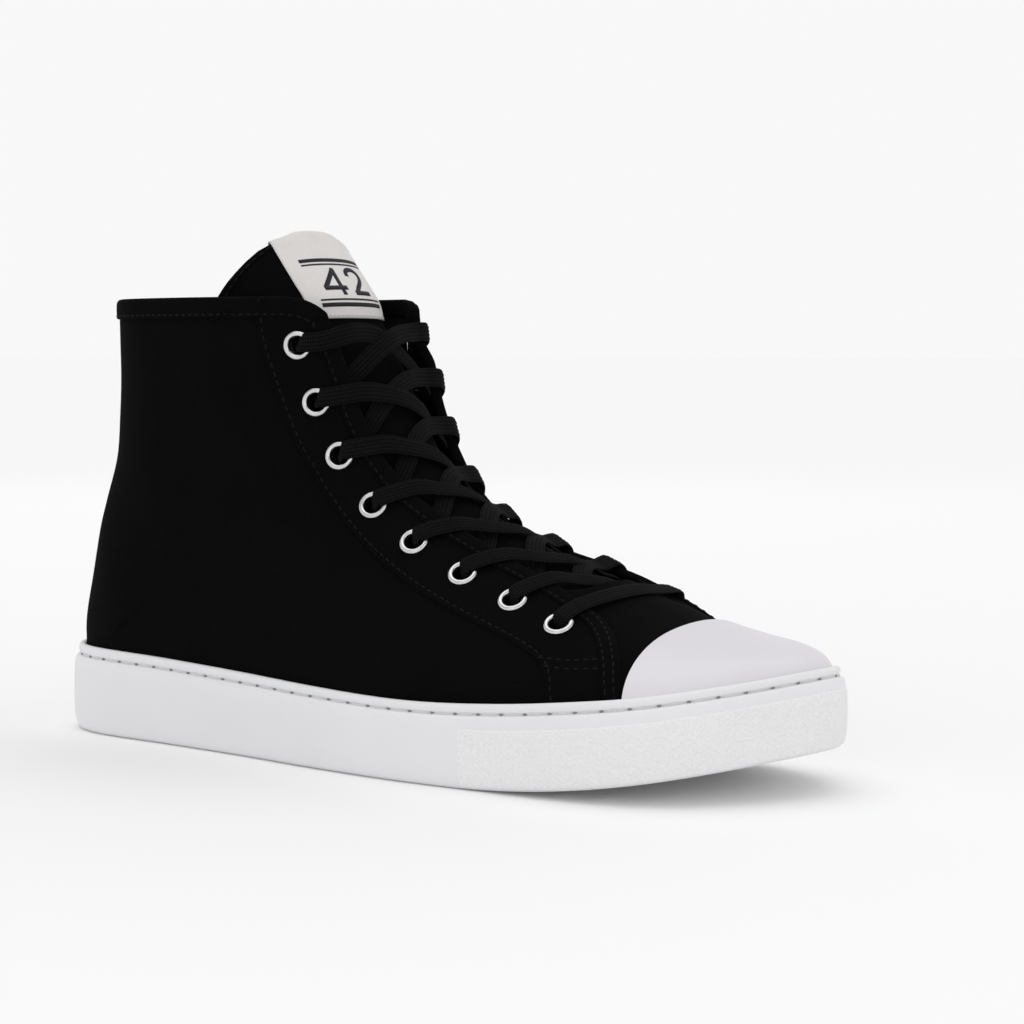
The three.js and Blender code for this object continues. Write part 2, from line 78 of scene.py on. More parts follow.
TONGUE_THICKNESS = 2.6
TONGUE_CLEARANCE = 1.9

FACING_LIFT = 0.8
EYELET_HOLE = 3.3

LACE_WIDTH = 6.3
LACE_THICKNESS = 1.25
LACE_RIBS = 5

# ---------------------------------------------------------------- the last

LAST = np.array([
    # row topX topZ topY backX backZ backY lateral medial belly crown shoulder seat flank
    [0, 294.7, 37.0, 9.7, 294.9, 20, 9.7, 1.2, 1.2, 0.6, 0.6, 0.6, 0.8, 0.8],
    [1, 293.6, 39.2, 9.6, 293.9, 19, 9.6, 8.0, 4.8, 0.6, 0.6, 0.6, 0.8, 0.8],
    [2, 290.8, 41.0, 9.4, 291.2, 17, 9.4, 15.9, 9.7, 0.6, 0.62, 0.6, 0.8, 0.8],
    [3, 286, 42.4, 9.0, 286, 15, 9.0, 23.8, 17.0, 0.6, 0.64, 0.6, 0.8, 0.8],
    [4, 278, 43.8, 8.3, 278, 12, 8.3, 34.8, 25.6, 0.6, 0.66, 0.6, 0.8, 0.8],
    [5, 265, 45.8, 6.8, 265, 8, 6.8, 44.3, 34.4, 0.55, 0.66, 0.6, 0.8, 0.8],
    [6, 250, 49.6, 5.5, 249, 5, 5.5, 48.3, 39.6, 0.5, 0.6, 0.6, 0.8, 0.8],
    [7, 233, 57.0, 4.6, 228, 4, 4.5, 49.3, 42.2, 0.42, 0.48, 0.55, 0.8, 0.8],
    [8, 212, 67.0, 4.1, 200, 4, 4.0, 49.3, 41.8, 0.36, 0.42, 0.46, 0.8, 0.8],
    [9, 191, 76.0, 4.0, 168, 4, 3.4, 49.0, 36.5, 0.33, 0.44, 0.45, 0.8, 0.8],
    [10, 173, 84.8, 4.0, 130, 4, 2.8, 45.5, 33.0, 0.34, 0.52, 0.5, 0.8, 0.8],
    [11, 159, 94.3, 4.0, 90, 4, 2.2, 40.5, 33.0, 0.38, 0.62, 0.56, 0.8, 0.75],
    [12, 149.8, 104.6, 4.0, 48, 5, 1.6, 37.0, 34.0, 0.42, 0.7, 0.64, 0.8, 0.7],
    [13, 144, 115, 4.0, 13, 9, 1.0, 35.5, 34.0, 0.46, 0.76, 0.7, 0.8, 0.7],
    [14, 141, 122, 4.0, 4.7, 28, 0.6, 35.0, 33.5, 0.48, 0.78, 0.72, 0.72, 0.66],
    [15, 138.5, 128.3, 4.0, 6.6, 50, 0.8, 34.5, 33.2, 0.48, 0.8, 0.74, 0.66, 0.6],
    [16, 136.3, 134, 4.0, 12.6, 75, 1.2, 34.5, 33.2, 0.48, 0.8, 0.75, 0.64, 0.58],
    [17, 134.6, 139.2, 4.0, 18.8, 97, 1.5, 35.0, 33.5, 0.48, 0.8, 0.75, 0.64, 0.58],
    [18, 133.1, 143.8, 4.0, 22.4, 117, 1.7, 35.8, 34.2, 0.48, 0.8, 0.75, 0.64, 0.58],
    [19, 132.0, 147.3, 4.0, 24.1, 135, 1.8, 36.6, 35.0, 0.48, 0.8, 0.75, 0.64, 0.58],
    [20, 131.5, 150, 4.0, 24.5, 150, 1.8, 37.0, 35.5, 0.48, 0.8, 0.75, 0.64, 0.58],
    [21, 130.0, 158, 4.0, 24.6, 162, 1.8, 37.0, 35.5, 0.48, 0.8, 0.75, 0.64, 0.58],
])
COLLAR_ROW = 20.0
EDGE_ROW = 7.95  # ahead of this row the facing leaves the throat's edge and runs down the vamp

# Half the throat's width across, from the ridge, on each row.
THROAT = [
    [7.44, 0.5], [7.48, 10], [7.56, 16], [7.7, 19.6], [7.95, 20.3], [8.3, 19.8], [9.3, 19], [11, 19.1],
    [12, 19.5], [13.4, 20.5], [15.3, 21.4], [17, 23], [18.2, 24.4], [21, 26.5],
]


def mix(a, b, t):
    return a + (b - a) * t


def smoothstep(x, low, high):
    t = np.clip((np.asarray(x, float) - low) / (high - low), 0, 1)
    return t * t * (3 - 2 * t)


def smooth(rows, at):
    """Values at `at` on a smooth curve through rows of (key, value, ...)."""
    rows = np.asarray(rows, float)
    at = np.asarray(at, float)
    keys, values = rows[:, 0], rows[:, 1:]
    last = len(rows) - 1
    order = np.arange(last + 1)
    before, after = np.maximum(order - 1, 0), np.minimum(order + 1, last)
    slopes = (values[after] - values[before]) / (keys[after] - keys[before])[:, None]
    i = np.clip(np.searchsorted(keys, at, side="right") - 1, 0, last - 1)
    span = (keys[i + 1] - keys[i])[..., None]
    t = np.clip((at - keys[i])[..., None] / span, 0, 1)
    found = (
        (2 * t**3 - 3 * t**2 + 1) * values[i]
        + (t**3 - 2 * t**2 + t) * span * slopes[i]
        + (3 * t**2 - 2 * t**3) * values[i + 1]
        + (t**3 - t**2) * span * slopes[i + 1]
    )
    return found[..., 0] if values.shape[1] == 1 else found


def bezier(a, b, c, d, t):
    s = 1 - t
    return s**3 * a + 3 * s**2 * t * b + 3 * s * t**2 * c + t**3 * d


def walk(line):
    """Millimetres walked along a line of points, up to each of them."""
    return np.concatenate([[0], np.cumsum(np.linalg.norm(np.diff(line, axis=0), axis=1))])


def last_point(row, turn):
    """Points of the last at rows and signed turns."""
    turn = (np.asarray(turn, float) + 1) % 2 - 1
    (top_x, top_z, top_y, back_x, back_z, back_y, lateral, medial,
     belly, crown, shoulder, seat, flank) = np.moveaxis(smooth(LAST, row), -1, 0)
    away = np.abs(turn)
    in_front = away < 0.5
    t = np.where(in_front, away * 2, away * 2 - 1)
    across = np.where(in_front, bezier(0, crown, 1, 1, t), bezier(1, 1, seat, 0, t))
    up = np.where(
        in_front,
        belly + (1 - belly) * bezier(1, 1, shoulder, 0, t),
        belly * bezier(1, 1 - flank, 0, 0, t),
    )
    half = np.where(turn < 0, -lateral, medial)
    return np.stack(
        [mix(back_x, top_x, up), mix(back_y, top_y, up) + across * half, mix(back_z, top_z, up)], -1
    )


def unit(vectors):
    return vectors / np.maximum(np.linalg.norm(vectors, axis=-1, keepdims=True), 1e-9)


def last_normal(row, turn):
    step = 0.004
    along = last_point(row + step, turn) - last_point(row - step, turn)
    around = last_point(row, turn + step) - last_point(row, turn - step)
    return unit(np.cross(around, along))


SECTION_TURNS = np.linspace(0, 0.85, 96)


def turn_at(row, reach):
    """The turns that lie `reach` mm round the sections from the ridge, negative to the lateral side."""
    row, reach = np.broadcast_arrays(np.asarray(row, float), np.asarray(reach, float))
    side = np.where(reach < 0, -1.0, 1.0).ravel()
    points = last_point(row.ravel()[:, None], side[:, None] * SECTION_TURNS)
    walked = np.cumsum(np.linalg.norm(np.diff(points, axis=1), axis=2), axis=1)
    walked = np.concatenate([np.zeros((len(walked), 1)), walked], axis=1)
    turns = [np.interp(abs(r), w, SECTION_TURNS) for r, w in zip(reach.ravel(), walked)]
    return (side * turns).reshape(row.shape)


def settle(points, row, turn):
    """The rows and turns of the last's points nearest to the given ones, from a first guess."""
    step = 0.003
    for _ in range(6):
        here = last_point(row, turn)
        a = (last_point(row + step, turn) - here) / step
        b = (last_point(row, turn + step) - here) / step
        gap = points - here
        aa, bb, ab = (a * a).sum(-1), (b * b).sum(-1), (a * b).sum(-1)
        ga, gb = (gap * a).sum(-1), (gap * b).sum(-1)
        whole = np.maximum(aa * bb - ab**2, 1e-6)
        row = np.clip(row + np.clip((ga * bb - gb * ab) / whole, -0.4, 0.4), 0.02, 20.95)
        turn = turn + np.clip((gb * aa - ga * ab) / whole, -0.08, 0.08)
    return row, turn


def bisect(passed, low, high):
    """Where a test turns true between low and high, for whole arrays at once."""
    low, high = np.array(low, float), np.array(high, float)
    for _ in range(34):
        middle = (low + high) / 2
        past = passed(middle)
        high = np.where(past, middle, high)
        low = np.where(past, low, middle)
    return (low + high) / 2


# ---------------------------------------------------------------- creases

# Soft folds of the canvas, in the side view: from one point to another, how wide and how deep (a
# ridge is negative). side 0 puts a fold on both sides.
CREASES = [
    # side fromX fromZ toX toZ width depth
    [0, 62, 128, 76, 74, 9, 0.7],
    [0, 84, 138, 93, 92, 8, -0.6],
    [0, 38, 84, 70, 52, 10, 0.8],
    [0, 96, 84, 118, 50, 9, 0.7],
    [LATERAL, 120, 76, 148, 44, 9, -0.6],
    [0, 158, 62, 186, 36, 8, 0.6],
    [MEDIAL, 130, 84, 150, 40, 9, 0.6],
    [0, 196, 50, 222, 34, 7, -0.4],
    [0, 226, 56, 236, 36, 4, 0.45],
    [0, 240, 52, 246, 38, 3.5, -0.35],
    [0, 30, 60, 44, 34, 9, -0.5],
    [0, 34, 150, 34, 160, 26, -1.6],
]
CREASE_RIDGE_Y = 3.0
BACK_SEAM_Y = 1.2
BACK_SEAM_WIDTH = 0.9
BACK_SEAM_DEPTH = 0.45
BACK_SEAM_FOOT = 20.0
PROUD_EDGE = 2.4
PROUD_WIDTH = 11.0
PROUD_FALL = 4.0  # how soon the stand-off falls away inside the throat
PROUD_ROWS = (6.3, 7.3, 15.6, 17.2)  # it grows between the first two, and fades between the last two
FRONT_HALF = 20.3  # half the throat's width at EDGE_ROW
FRONT_SPREAD = 3.5  # how much further out the facing's edge lies, each row ahead of that


def proud_edge(row, points):
    """How far the medial facing stands up off the tongue, most at the throat's edge."""
    ridge = smooth(LAST[:, [0, 3]], row)
    edge = np.where(row < EDGE_ROW, FRONT_HALF + (EDGE_ROW - row) * FRONT_SPREAD, smooth(THROAT, row))
    off = points[..., 1] - ridge - edge
    fade = smoothstep(row, *PROUD_ROWS[:2]) * (1 - smoothstep(row, *PROUD_ROWS[2:]))
    width = np.where(off < 0, PROUD_FALL, PROUD_WIDTH)
    return PROUD_EDGE * np.exp(-(off / width) ** 2) * fade


def crease(points, turn):
    """How far the canvas sinks at points of the last."""
    sunk = np.zeros(points.shape[:-1])
    x, y, z = np.moveaxis(points, -1, 0)
    for side, from_x, from_z, to_x, to_z, width, depth in CREASES:
        run_x, run_z = to_x - from_x, to_z - from_z
        t = np.clip(((x - from_x) * run_x + (z - from_z) * run_z) / (run_x**2 + run_z**2), -0.4, 1.4)
        off = (x - from_x - t * run_x) ** 2 + (z - from_z - t * run_z) ** 2
        faded = np.exp(-off / width**2)
        if side:
            faded = faded * smoothstep(side * y, 2, 12)
        else:
            faded = faded * smoothstep(np.abs(y - CREASE_RIDGE_Y), 6, 16)
        sunk += depth * faded
    behind = (np.abs(np.abs(turn) - 1) < 0.12) & (z > BACK_SEAM_FOOT)
    seam = np.exp(-((y - BACK_SEAM_Y) / BACK_SEAM_WIDTH) ** 2) * behind
    return sunk + BACK_SEAM_DEPTH * seam


def skin(row, turn, lift):
    """Points of the upper's face, creases and all, lifted off it."""
    turn = (np.asarray(turn, float) + 1) % 2 - 1
    points = last_point(row, turn)
    lift = lift - crease(points, turn) + proud_edge(row, points)
    return points + last_normal(row, turn) * lift[..., None]


# ---------------------------------------------------------------- edges and levels

LIP_TOP = [
    [0, 30.3], [43, 29.8], [86, 28.3], [140, 26.2], [170, 25.4], [192, 25.7],
    [217, 27.3], [241, 29.7], [262, 32.2], [285, 36.2], [300, 39.6],
]
CAP_REAR = [
    [-70, 258], [-50, 257], [-36, 255.5], [-20, 254], [-5, 253.2], [8, 252.6], [25, 252], [45, 251.4],
    [70, 251],
]
EYELETS = [
    # row, millimetres round from the ridge
    [17.2, 37.2], [14.6, 35.8], [12.55, 34.1], [11.15, 33], [10.05, 33.2], [9.05, 33.8], [8.17, 34.2],
    [7.36, 35.4],
]


def sole_bottom(x):
    t = np.clip((np.asarray(x, float) - SPRING_START) / (SPRING_END - SPRING_START), 0, 1.05)
    return TOE_SPRING * t**1.8


def sole_floor(x):
    return sole_bottom(x) + mix(HEEL_FLOOR, FOREFOOT_FLOOR, smoothstep(x, 70, 190))


def lip_top(x):
    return smooth(LIP_TOP, x)


def level_turn(row, side, level):
    """Where each row's section comes down through a level."""
    def under(turn):
        points = last_point(row, side * turn)
        return points[..., 2] < level(points[..., 0])

    row = np.asarray(row, float)
    return bisect(under, np.zeros(row.shape), np.ones(row.shape))


def opening_turn(row, side):
    """Where the canvas starts on each row: the edge of the throat or of the collar."""
    row = np.asarray(row, float)
    half = np.where(row < THROAT[0][0], 0, smooth(THROAT, row))
    ridge = last_point(row, np.zeros(row.shape))[..., 1]

    def in_canvas(turn):
        x, y, z = np.moveaxis(last_point(row, side * turn), -1, 0)
        over = np.clip(x - COLLAR_CORNER_X, 0, COLLAR_CORNER_RADIUS)
        limit = COLLAR_CORNER_Z + np.sqrt(COLLAR_CORNER_RADIUS**2 - over**2)
        limit = limit - np.maximum(x - COLLAR_CORNER_X - COLLAR_CORNER_RADIUS, 0) / 8
        return (np.abs(y - ridge) >= half) & (z <= limit + 1e-6)

    return bisect(in_canvas, np.zeros(row.shape), np.full(row.shape, 0.5))


# ---------------------------------------------------------------- the cup's outline

STATIONS = 720


def heel_row(level):
    """The row whose back point lies on a level, behind the heel."""
    def above(row):
        point = last_point(row, np.ones(1))
        return point[..., 2] > level(point[..., 0])

    return float(bisect(above, np.full(1, 12.0), np.full(1, 15.0))[0])


def level_loop(level, lift, stations):
    """The closed line where the last crosses a level: from the heel, along the medial side, and back."""
    rows = heel_row(level) * np.linspace(0, 1, 420) ** 1.3
    halves = []
    for side in (MEDIAL, LATERAL):
        turn = side * level_turn(rows, side, level)
        halves.append(last_point(rows, turn) + last_normal(rows, turn) * lift)
    line = np.concatenate([halves[0][::-1], halves[1], halves[0][-1:]])
    walked = walk(line)
    at = np.linspace(0, walked[-1], stations + 1)[:-1]
    return np.stack([np.interp(at, walked, line[:, k]) for k in range(3)], 1)


def loop_outward(loop):
    """Level outward directions along a closed loop, evened over a few stations."""
    along = np.roll(loop, -4, axis=0) - np.roll(loop, 4, axis=0)
    out = np.stack([-along[:, 1], along[:, 0], np.zeros(len(loop))], 1)
    evened = sum(np.roll(out, k, axis=0) for k in range(-4, 5))
    return unit(evened)


FEATHER = level_loop(lambda x: lip_top(x) - FEATHER_DEPTH, 0.0, STATIONS)
FEATHER_OUT = loop_outward(FEATHER)


def sole_ring(reach, share, rise):
    """A ring of the cup: out from the feather line, between the ground (0) and the lip's top (1)."""
    ring = FEATHER + FEATHER_OUT * reach
    ring[:, 2] = mix(sole_bottom(ring[:, 0]), lip_top(ring[:, 0]), share) + rise
    return ring


def middle_of_footprint():
    """Where the frame's origin lies in the drawing: the sole's own middle matched to its solid's."""
    ring = sole_ring(SIDEWALL_REACH, 0.4, 0)
    low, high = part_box("outsole")
    drawn = (ring.min(0) + ring.max(0)) / 2
    built = np.array((low + high) / 2) * 1000
    return np.array([drawn[0] - built[0], drawn[1] - built[1], 0.0])


FOOTPRINT_MIDDLE = middle_of_footprint()


def placed(points):
    """Drawing millimetres to the frame's metres."""
    return (np.asarray(points, float) - FOOTPRINT_MIDDLE) / 1000


# ---------------------------------------------------------------- camera

CAMERA_AZIMUTH = math.radians(36.6)
CAMERA_PITCH = math.radians(3.5)
CAMERA_BACK = 849.9
CAMERA_ASIDE = 28.35
CAMERA_HEIGHT = 132.1
CAMERA_AIM_X = 150.0
CAMERA_LENS = 91.4


def add_camera():
    right = Vector((math.cos(CAMERA_AZIMUTH), math.sin(CAMERA_AZIMUTH), 0))
    level = Vector((-math.sin(CAMERA_AZIMUTH), math.cos(CAMERA_AZIMUTH), 0))
    spot = Vector((CAMERA_AIM_X, 0, CAMERA_HEIGHT)) - level * CAMERA_BACK + right * CAMERA_ASIDE
    sight = level * math.cos(CAMERA_PITCH) - Vector((0, 0, math.sin(CAMERA_PITCH)))
    up = right.cross(sight)
    camera = bpy.data.cameras.new("camera")
    camera.lens = CAMERA_LENS
    camera.sensor_width = 36
    holder = bpy.data.objects.new("camera", camera)
    bpy.context.scene.collection.objects.link(holder)
    turned = Matrix((right, up, -sight)).transposed().to_4x4()
    holder.matrix_world = Matrix.Translation(Vector(placed(spot))) @ turned
    bpy.context.scene.camera = holder


add_camera()

# ---------------------------------------------------------------- materials


class Shading:
    """Builds one material's nodes: each method adds a node and gives back its output."""

    def __init__(self, name, **surface):
        self.material = bpy.data.materials.new(name)
        self.material.use_nodes = True
        self.tree = self.material.node_tree
        self.surface = self.tree.nodes["Principled BSDF"]
        for socket, value in surface.items():
            self.surface.inputs[socket.replace("_", " ")].default_value = value

    def node(self, kind, inputs=(), output=0, **settings):
        node = self.tree.nodes.new(kind)
        for key, value in settings.items():
            setattr(node, key, value)
        for socket, value in dict(inputs).items():
            if isinstance(value, bpy.types.NodeSocket):
                self.tree.links.new(value, node.inputs[socket])
            else:
                node.inputs[socket].default_value = value
        return node.outputs[output]

    def math(self, operation, *values):
        return self.node("ShaderNodeMath", dict(enumerate(values)), operation=operation)

    def spot(self, source="Object", scale=(1, 1, 1), turn=(0, 0, 0)):
        place = self.node("ShaderNodeTexCoord", output=source)
        return self.node("ShaderNodeMapping", {"Vector": place, "Scale": scale, "Rotation": turn})

    def parts(self, vector):
        split = self.tree.nodes.new("ShaderNodeSeparateXYZ")
        self.tree.links.new(vector, split.inputs[0])
        return split.outputs[0], split.outputs[1], split.outputs[2]

    def noise(self, vector, scale, detail=3.0, roughness=0.55):
        return self.node(
            "ShaderNodeTexNoise",
            {"Vector": vector, "Scale": scale, "Detail": detail, "Roughness": roughness},
        )

    def ramp(self, value, low, high):
        """Maps 0..1 onto low..high."""
        return self.node("ShaderNodeMapRange", {"Value": value, "To Min": low, "To Max": high})

    def tint(self, factor, first, second):
        node = self.tree.nodes.new("ShaderNodeMix")
        node.data_type = "RGBA"
        self.tree.links.new(factor, node.inputs[0])
        node.inputs[6].default_value = (*first, 1)
        node.inputs[7].default_value = (*second, 1)
        return node.outputs[2]

    def bump(self, height, distance, strength=1.0, below=None):
        inputs = {"Height": height, "Distance": distance, "Strength": strength}
        if below is not None:
            inputs["Normal"] = below
        return self.node("ShaderNodeBump", inputs)

    def wire(self, **outputs):
        for socket, value in outputs.items():
            self.tree.links.new(value, self.surface.inputs[socket.replace("_", " ")])
        return self.material


def plain_weave(shading, vector):
    """Height of a plain weave whose threads are one unit apart: warp over weft, then under it."""
    u, v, _ = shading.parts(vector)
    threads = []
    for across, along, start in ((u, v, 0.0), (v, u, 1.0)):
        rounded = shading.math("ABSOLUTE", shading.math("SINE", shading.math("MULTIPLY", across, math.pi)))
        number = shading.math("FLOOR", across)
        phase = shading.math("ADD", shading.math("ADD", along, number), 0.5 + start)
        lifted = shading.math("SINE", shading.math("MULTIPLY", phase, math.pi))
        threads.append(shading.math("MULTIPLY", shading.math("POWER", rounded, 0.6),
                                    shading.math("MULTIPLY_ADD", lifted, 0.5, 0.5)))
    return shading.math("MAXIMUM", *threads)


def canvas_material(name, thread, tones, sheen, lint):
    """Cotton canvas: plain weave, painted shade between threads, soft wrinkles and a little lint."""
    shading = Shading(name, Roughness=0.95, Sheen_Weight=sheen, Sheen_Roughness=0.5)
    shading.surface.inputs["Specular IOR Level"].default_value = 0.02
    cloth = shading.spot("UV", scale=(1 / thread, 1 / thread, 1))
    weave = plain_weave(shading, cloth)
    place = shading.spot("Object")
    cloudy = shading.noise(place, 55, 4)
    slubs = shading.noise(shading.spot("UV", scale=(0.35, 2.4, 1)), 1.0, 2)
    tone = shading.math("MULTIPLY_ADD", cloudy, 0.5, shading.math("MULTIPLY", slubs, 0.5))
    # Painted shade: the weave's height darkens the cloudy tone in the hollows between threads.
    shade = shading.math("MULTIPLY", tone, shading.math("MULTIPLY_ADD", weave, 0.8, 0.4))
    flecks = shading.noise(shading.spot("UV", scale=(0.9, 0.9, 1)), 1.0, 6, 0.8)
    fleck = shading.math("MULTIPLY", shading.math("GREATER_THAN", flecks, lint), 0.6)
    colour = shading.tint(shading.math("MAXIMUM", shade, fleck), *tones)
    wrinkles = shading.bump(shading.noise(place, 38, 3), 0.0006, 0.35)
    fine = shading.bump(weave, thread * 0.00016, 0.6, wrinkles)
    return shading.wire(Base_Color=colour, Normal=fine)


def rubber_material(name, tones, roughness, grain):
    """Moulded rubber: a faint mottle, uneven gloss and a fine mould grain."""
    shading = Shading(name, Roughness=roughness, IOR=1.48)
    place = shading.spot("Object")
    cloudy = shading.noise(place, 26, 4)
    colour = shading.tint(cloudy, *tones)
    uneven = shading.ramp(shading.noise(place, 60, 3), roughness - 0.05, roughness + 0.07)
    soft = shading.bump(shading.noise(place, 90, 2), 0.0002, 0.25)
    fine = shading.bump(shading.noise(place, 2600, 2), 0.00006, grain, soft)
    return shading.wire(Base_Color=colour, Roughness=uneven, Normal=fine)


def nickel_material():
    shading = Shading("bright_nickel", Metallic=1.0, Roughness=0.14)
    place = shading.spot("Object")
    colour = shading.tint(shading.noise(place, 240, 3), (0.52, 0.52, 0.53), (0.74, 0.74, 0.75))
    rough = shading.ramp(shading.noise(place, 900, 3), 0.14, 0.3)
    fine = shading.bump(shading.noise(place, 1500, 2), 0.00002, 0.4)
    return shading.wire(Base_Color=colour, Roughness=rough, Normal=fine)


def lace_material():
    """Flat braided lace: slanted picks over lengthwise ribs."""
    shading = Shading("braided_lace", Roughness=0.85, Sheen_Weight=0.01, Sheen_Roughness=0.45)
    shading.surface.inputs["Specular IOR Level"].default_value = 0.05
    across, along, _ = shading.parts(shading.spot("UV"))
    ribs = shading.math("ABSOLUTE", shading.math("SINE", shading.math(
        "MULTIPLY", across, math.pi * LACE_RIBS / LACE_WIDTH)))
    slanted = shading.math("MULTIPLY_ADD", ribs, 0.35, shading.math("MULTIPLY", along, 1 / 0.75))
    picks = shading.math("ABSOLUTE", shading.math("SINE", shading.math("MULTIPLY", slanted, math.pi)))
    place = shading.spot("Object")
    # Painted shade: the tone darkens in the grooves between the ribs and between the picks; worn is a random
    # mottle.
    groove = shading.math("POWER", ribs, 0.6)
    worn = shading.math("MULTIPLY_ADD", shading.noise(place, 120, 3), 0.7, 0.4)
    tone = shading.math("MULTIPLY", shading.math("MULTIPLY", picks, groove), worn)
    colour = shading.tint(tone, (0.0008, 0.0008, 0.0008), (0.0115, 0.0115, 0.0115))
    fine = shading.bump(picks, 0.00018, 0.9)
    return shading.wire(Base_Color=colour, Normal=fine)


def thread_material(name, tones, roughness, sheen):
    shading = Shading(name, Roughness=roughness, Sheen_Weight=sheen, Sheen_Roughness=0.4)
    shading.surface.inputs["Specular IOR Level"].default_value = 0.1
    place = shading.spot("Object")
    twist = shading.node("ShaderNodeTexWave", {"Vector": place, "Scale": 900.0, "Distortion": 3.0},
                         output=1, wave_type="BANDS", bands_direction="DIAGONAL")
    colour = shading.tint(shading.noise(place, 500, 2), *tones)
    return shading.wire(Base_Color=colour, Normal=shading.bump(twist, 0.00008, 0.7))


def tape_material():
    """Woven label tape: a fine plain weave."""
    shading = Shading("label_tape", Roughness=0.7, Sheen_Weight=0.1)
    weave = plain_weave(shading, shading.spot("UV", scale=(1 / 0.28, 1 / 0.42, 1)))
    place = shading.spot("Object")
    cloudy = shading.noise(place, 120, 3)
    # Painted shade: the weave's height darkens the tone between the threads, mixed with a random cloudy
    # tone.
    tone = shading.math("MULTIPLY_ADD", weave, 0.6, shading.math("MULTIPLY", cloudy, 0.4))
    colour = shading.tint(tone, (0.60, 0.575, 0.56), (0.80, 0.775, 0.76))
    return shading.wire(Base_Color=colour, Normal=shading.bump(weave, 0.00008, 0.6))


CANVAS_TONES = ((0.0016, 0.0016, 0.0016), (0.0048, 0.0048, 0.0049))
CANVAS = canvas_material("black_canvas", 0.62, CANVAS_TONES, 0.005, 0.76)
LINING = canvas_material("drill_lining", 0.8, ((0.003, 0.003, 0.003), (0.011, 0.011, 0.011)), 0.01, 0.8)
SOLE_RUBBER = rubber_material("sole_rubber", ((0.775, 0.775, 0.79), (0.83, 0.83, 0.845)), 0.55, 0.4)
TOE_RUBBER = rubber_material("toe_rubber", ((0.705, 0.684, 0.722), (0.746, 0.728, 0.764)), 0.42, 0.2)
# Painted light: a lighter copy of the sole rubber for the knurled band, where more light falls towards the
# toe.
LIT_KNURL_RUBBER = rubber_material("knurled_rubber_painted_lighter", ((0.83, 0.828, 0.838), (0.885, 0.883, 0.893)), 0.55, 0.3)
NICKEL = nickel_material()
LACE = lace_material()
TAPE = tape_material()
BLACK_THREAD = thread_material("black_thread", ((0.003, 0.003, 0.003), (0.008, 0.008, 0.008)), 0.75, 0.01)
WHITE_THREAD = thread_material("white_thread", ((0.62, 0.62, 0.62), (0.74, 0.74, 0.74)), 0.55, 0.05)
PALE_THREAD = thread_material("pale_thread", ((0.52, 0.50, 0.48), (0.66, 0.64, 0.62)), 0.6, 0.1)
LABEL_THREAD = thread_material("label_figures", ((0.012, 0.011, 0.016), (0.03, 0.028, 0.036)), 0.7, 0.1)
# Painted shadow: a grey for the shade where the sole's stitch thread dives into its groove.
NEEDLE_HOLE_SHADE = thread_material("painted_needle_hole_shadow", ((0.24, 0.24, 0.245), (0.32, 0.32, 0.325)), 0.9, 0.0)

# ---------------------------------------------------------------- meshes from grids


class Sheets:
    """Grids of points gathered into one mesh, with cloth coordinates in millimetres."""

    def __init__(self):
        self.points = []
        self.quads = []
        self.cloth = []
        self.count = 0

    def add(self, grid, cloth=None, flip=False):
        rows, columns = grid.shape[:2]
        if cloth is None:
            cloth = paced(grid)
        index = np.arange(rows * columns).reshape(rows, columns)
        quads = np.stack([index[:-1, :-1], index[1:, :-1], index[1:, 1:], index[:-1, 1:]], -1).reshape(-1, 4)
        if flip:
            quads = quads[:, ::-1]
        self.points.append(grid.reshape(-1, 3))
        self.cloth.append(cloth.reshape(-1, 2)[quads].reshape(-1, 2))
        self.quads.append(quads + self.count)
        self.count += rows * columns
        return self

    def piece(self, name, *materials, weld=0.02, outward=False):
        mesh = bpy.data.meshes.new(name)
        quads = np.concatenate(self.quads)
        mesh.from_pydata(placed(np.concatenate(self.points)).tolist(), [], quads.tolist())
        layer = mesh.uv_layers.new(name="cloth")
        layer.data.foreach_set("uv", np.concatenate(self.cloth).ravel())
        for material in materials:
            mesh.materials.append(material)
        shell = bmesh.new()
        shell.from_mesh(mesh)
        bmesh.ops.remove_doubles(shell, verts=shell.verts, dist=weld / 1000)
        if outward:
            bmesh.ops.recalc_face_normals(shell, faces=shell.faces)
        for face in shell.faces:
            face.smooth = True
        shell.to_mesh(mesh)
        shell.free()
        piece = bpy.data.objects.new(name, mesh)
        bpy.context.scene.collection.objects.link(piece)
        return piece


def paced(grid):
    """Cloth coordinates of a grid, walked off along its columns and rows."""
    along = np.linalg.norm(np.diff(grid, axis=0), axis=2)
    along = np.concatenate([np.zeros((1, grid.shape[1])), np.cumsum(along, axis=0)])
    across = np.linalg.norm(np.diff(grid, axis=1), axis=2)
    across = np.concatenate([np.zeros((grid.shape[0], 1)), np.cumsum(across, axis=1)], axis=1)
    return np.stack([along.mean(1, keepdims=True) + 0 * across, across], -1)


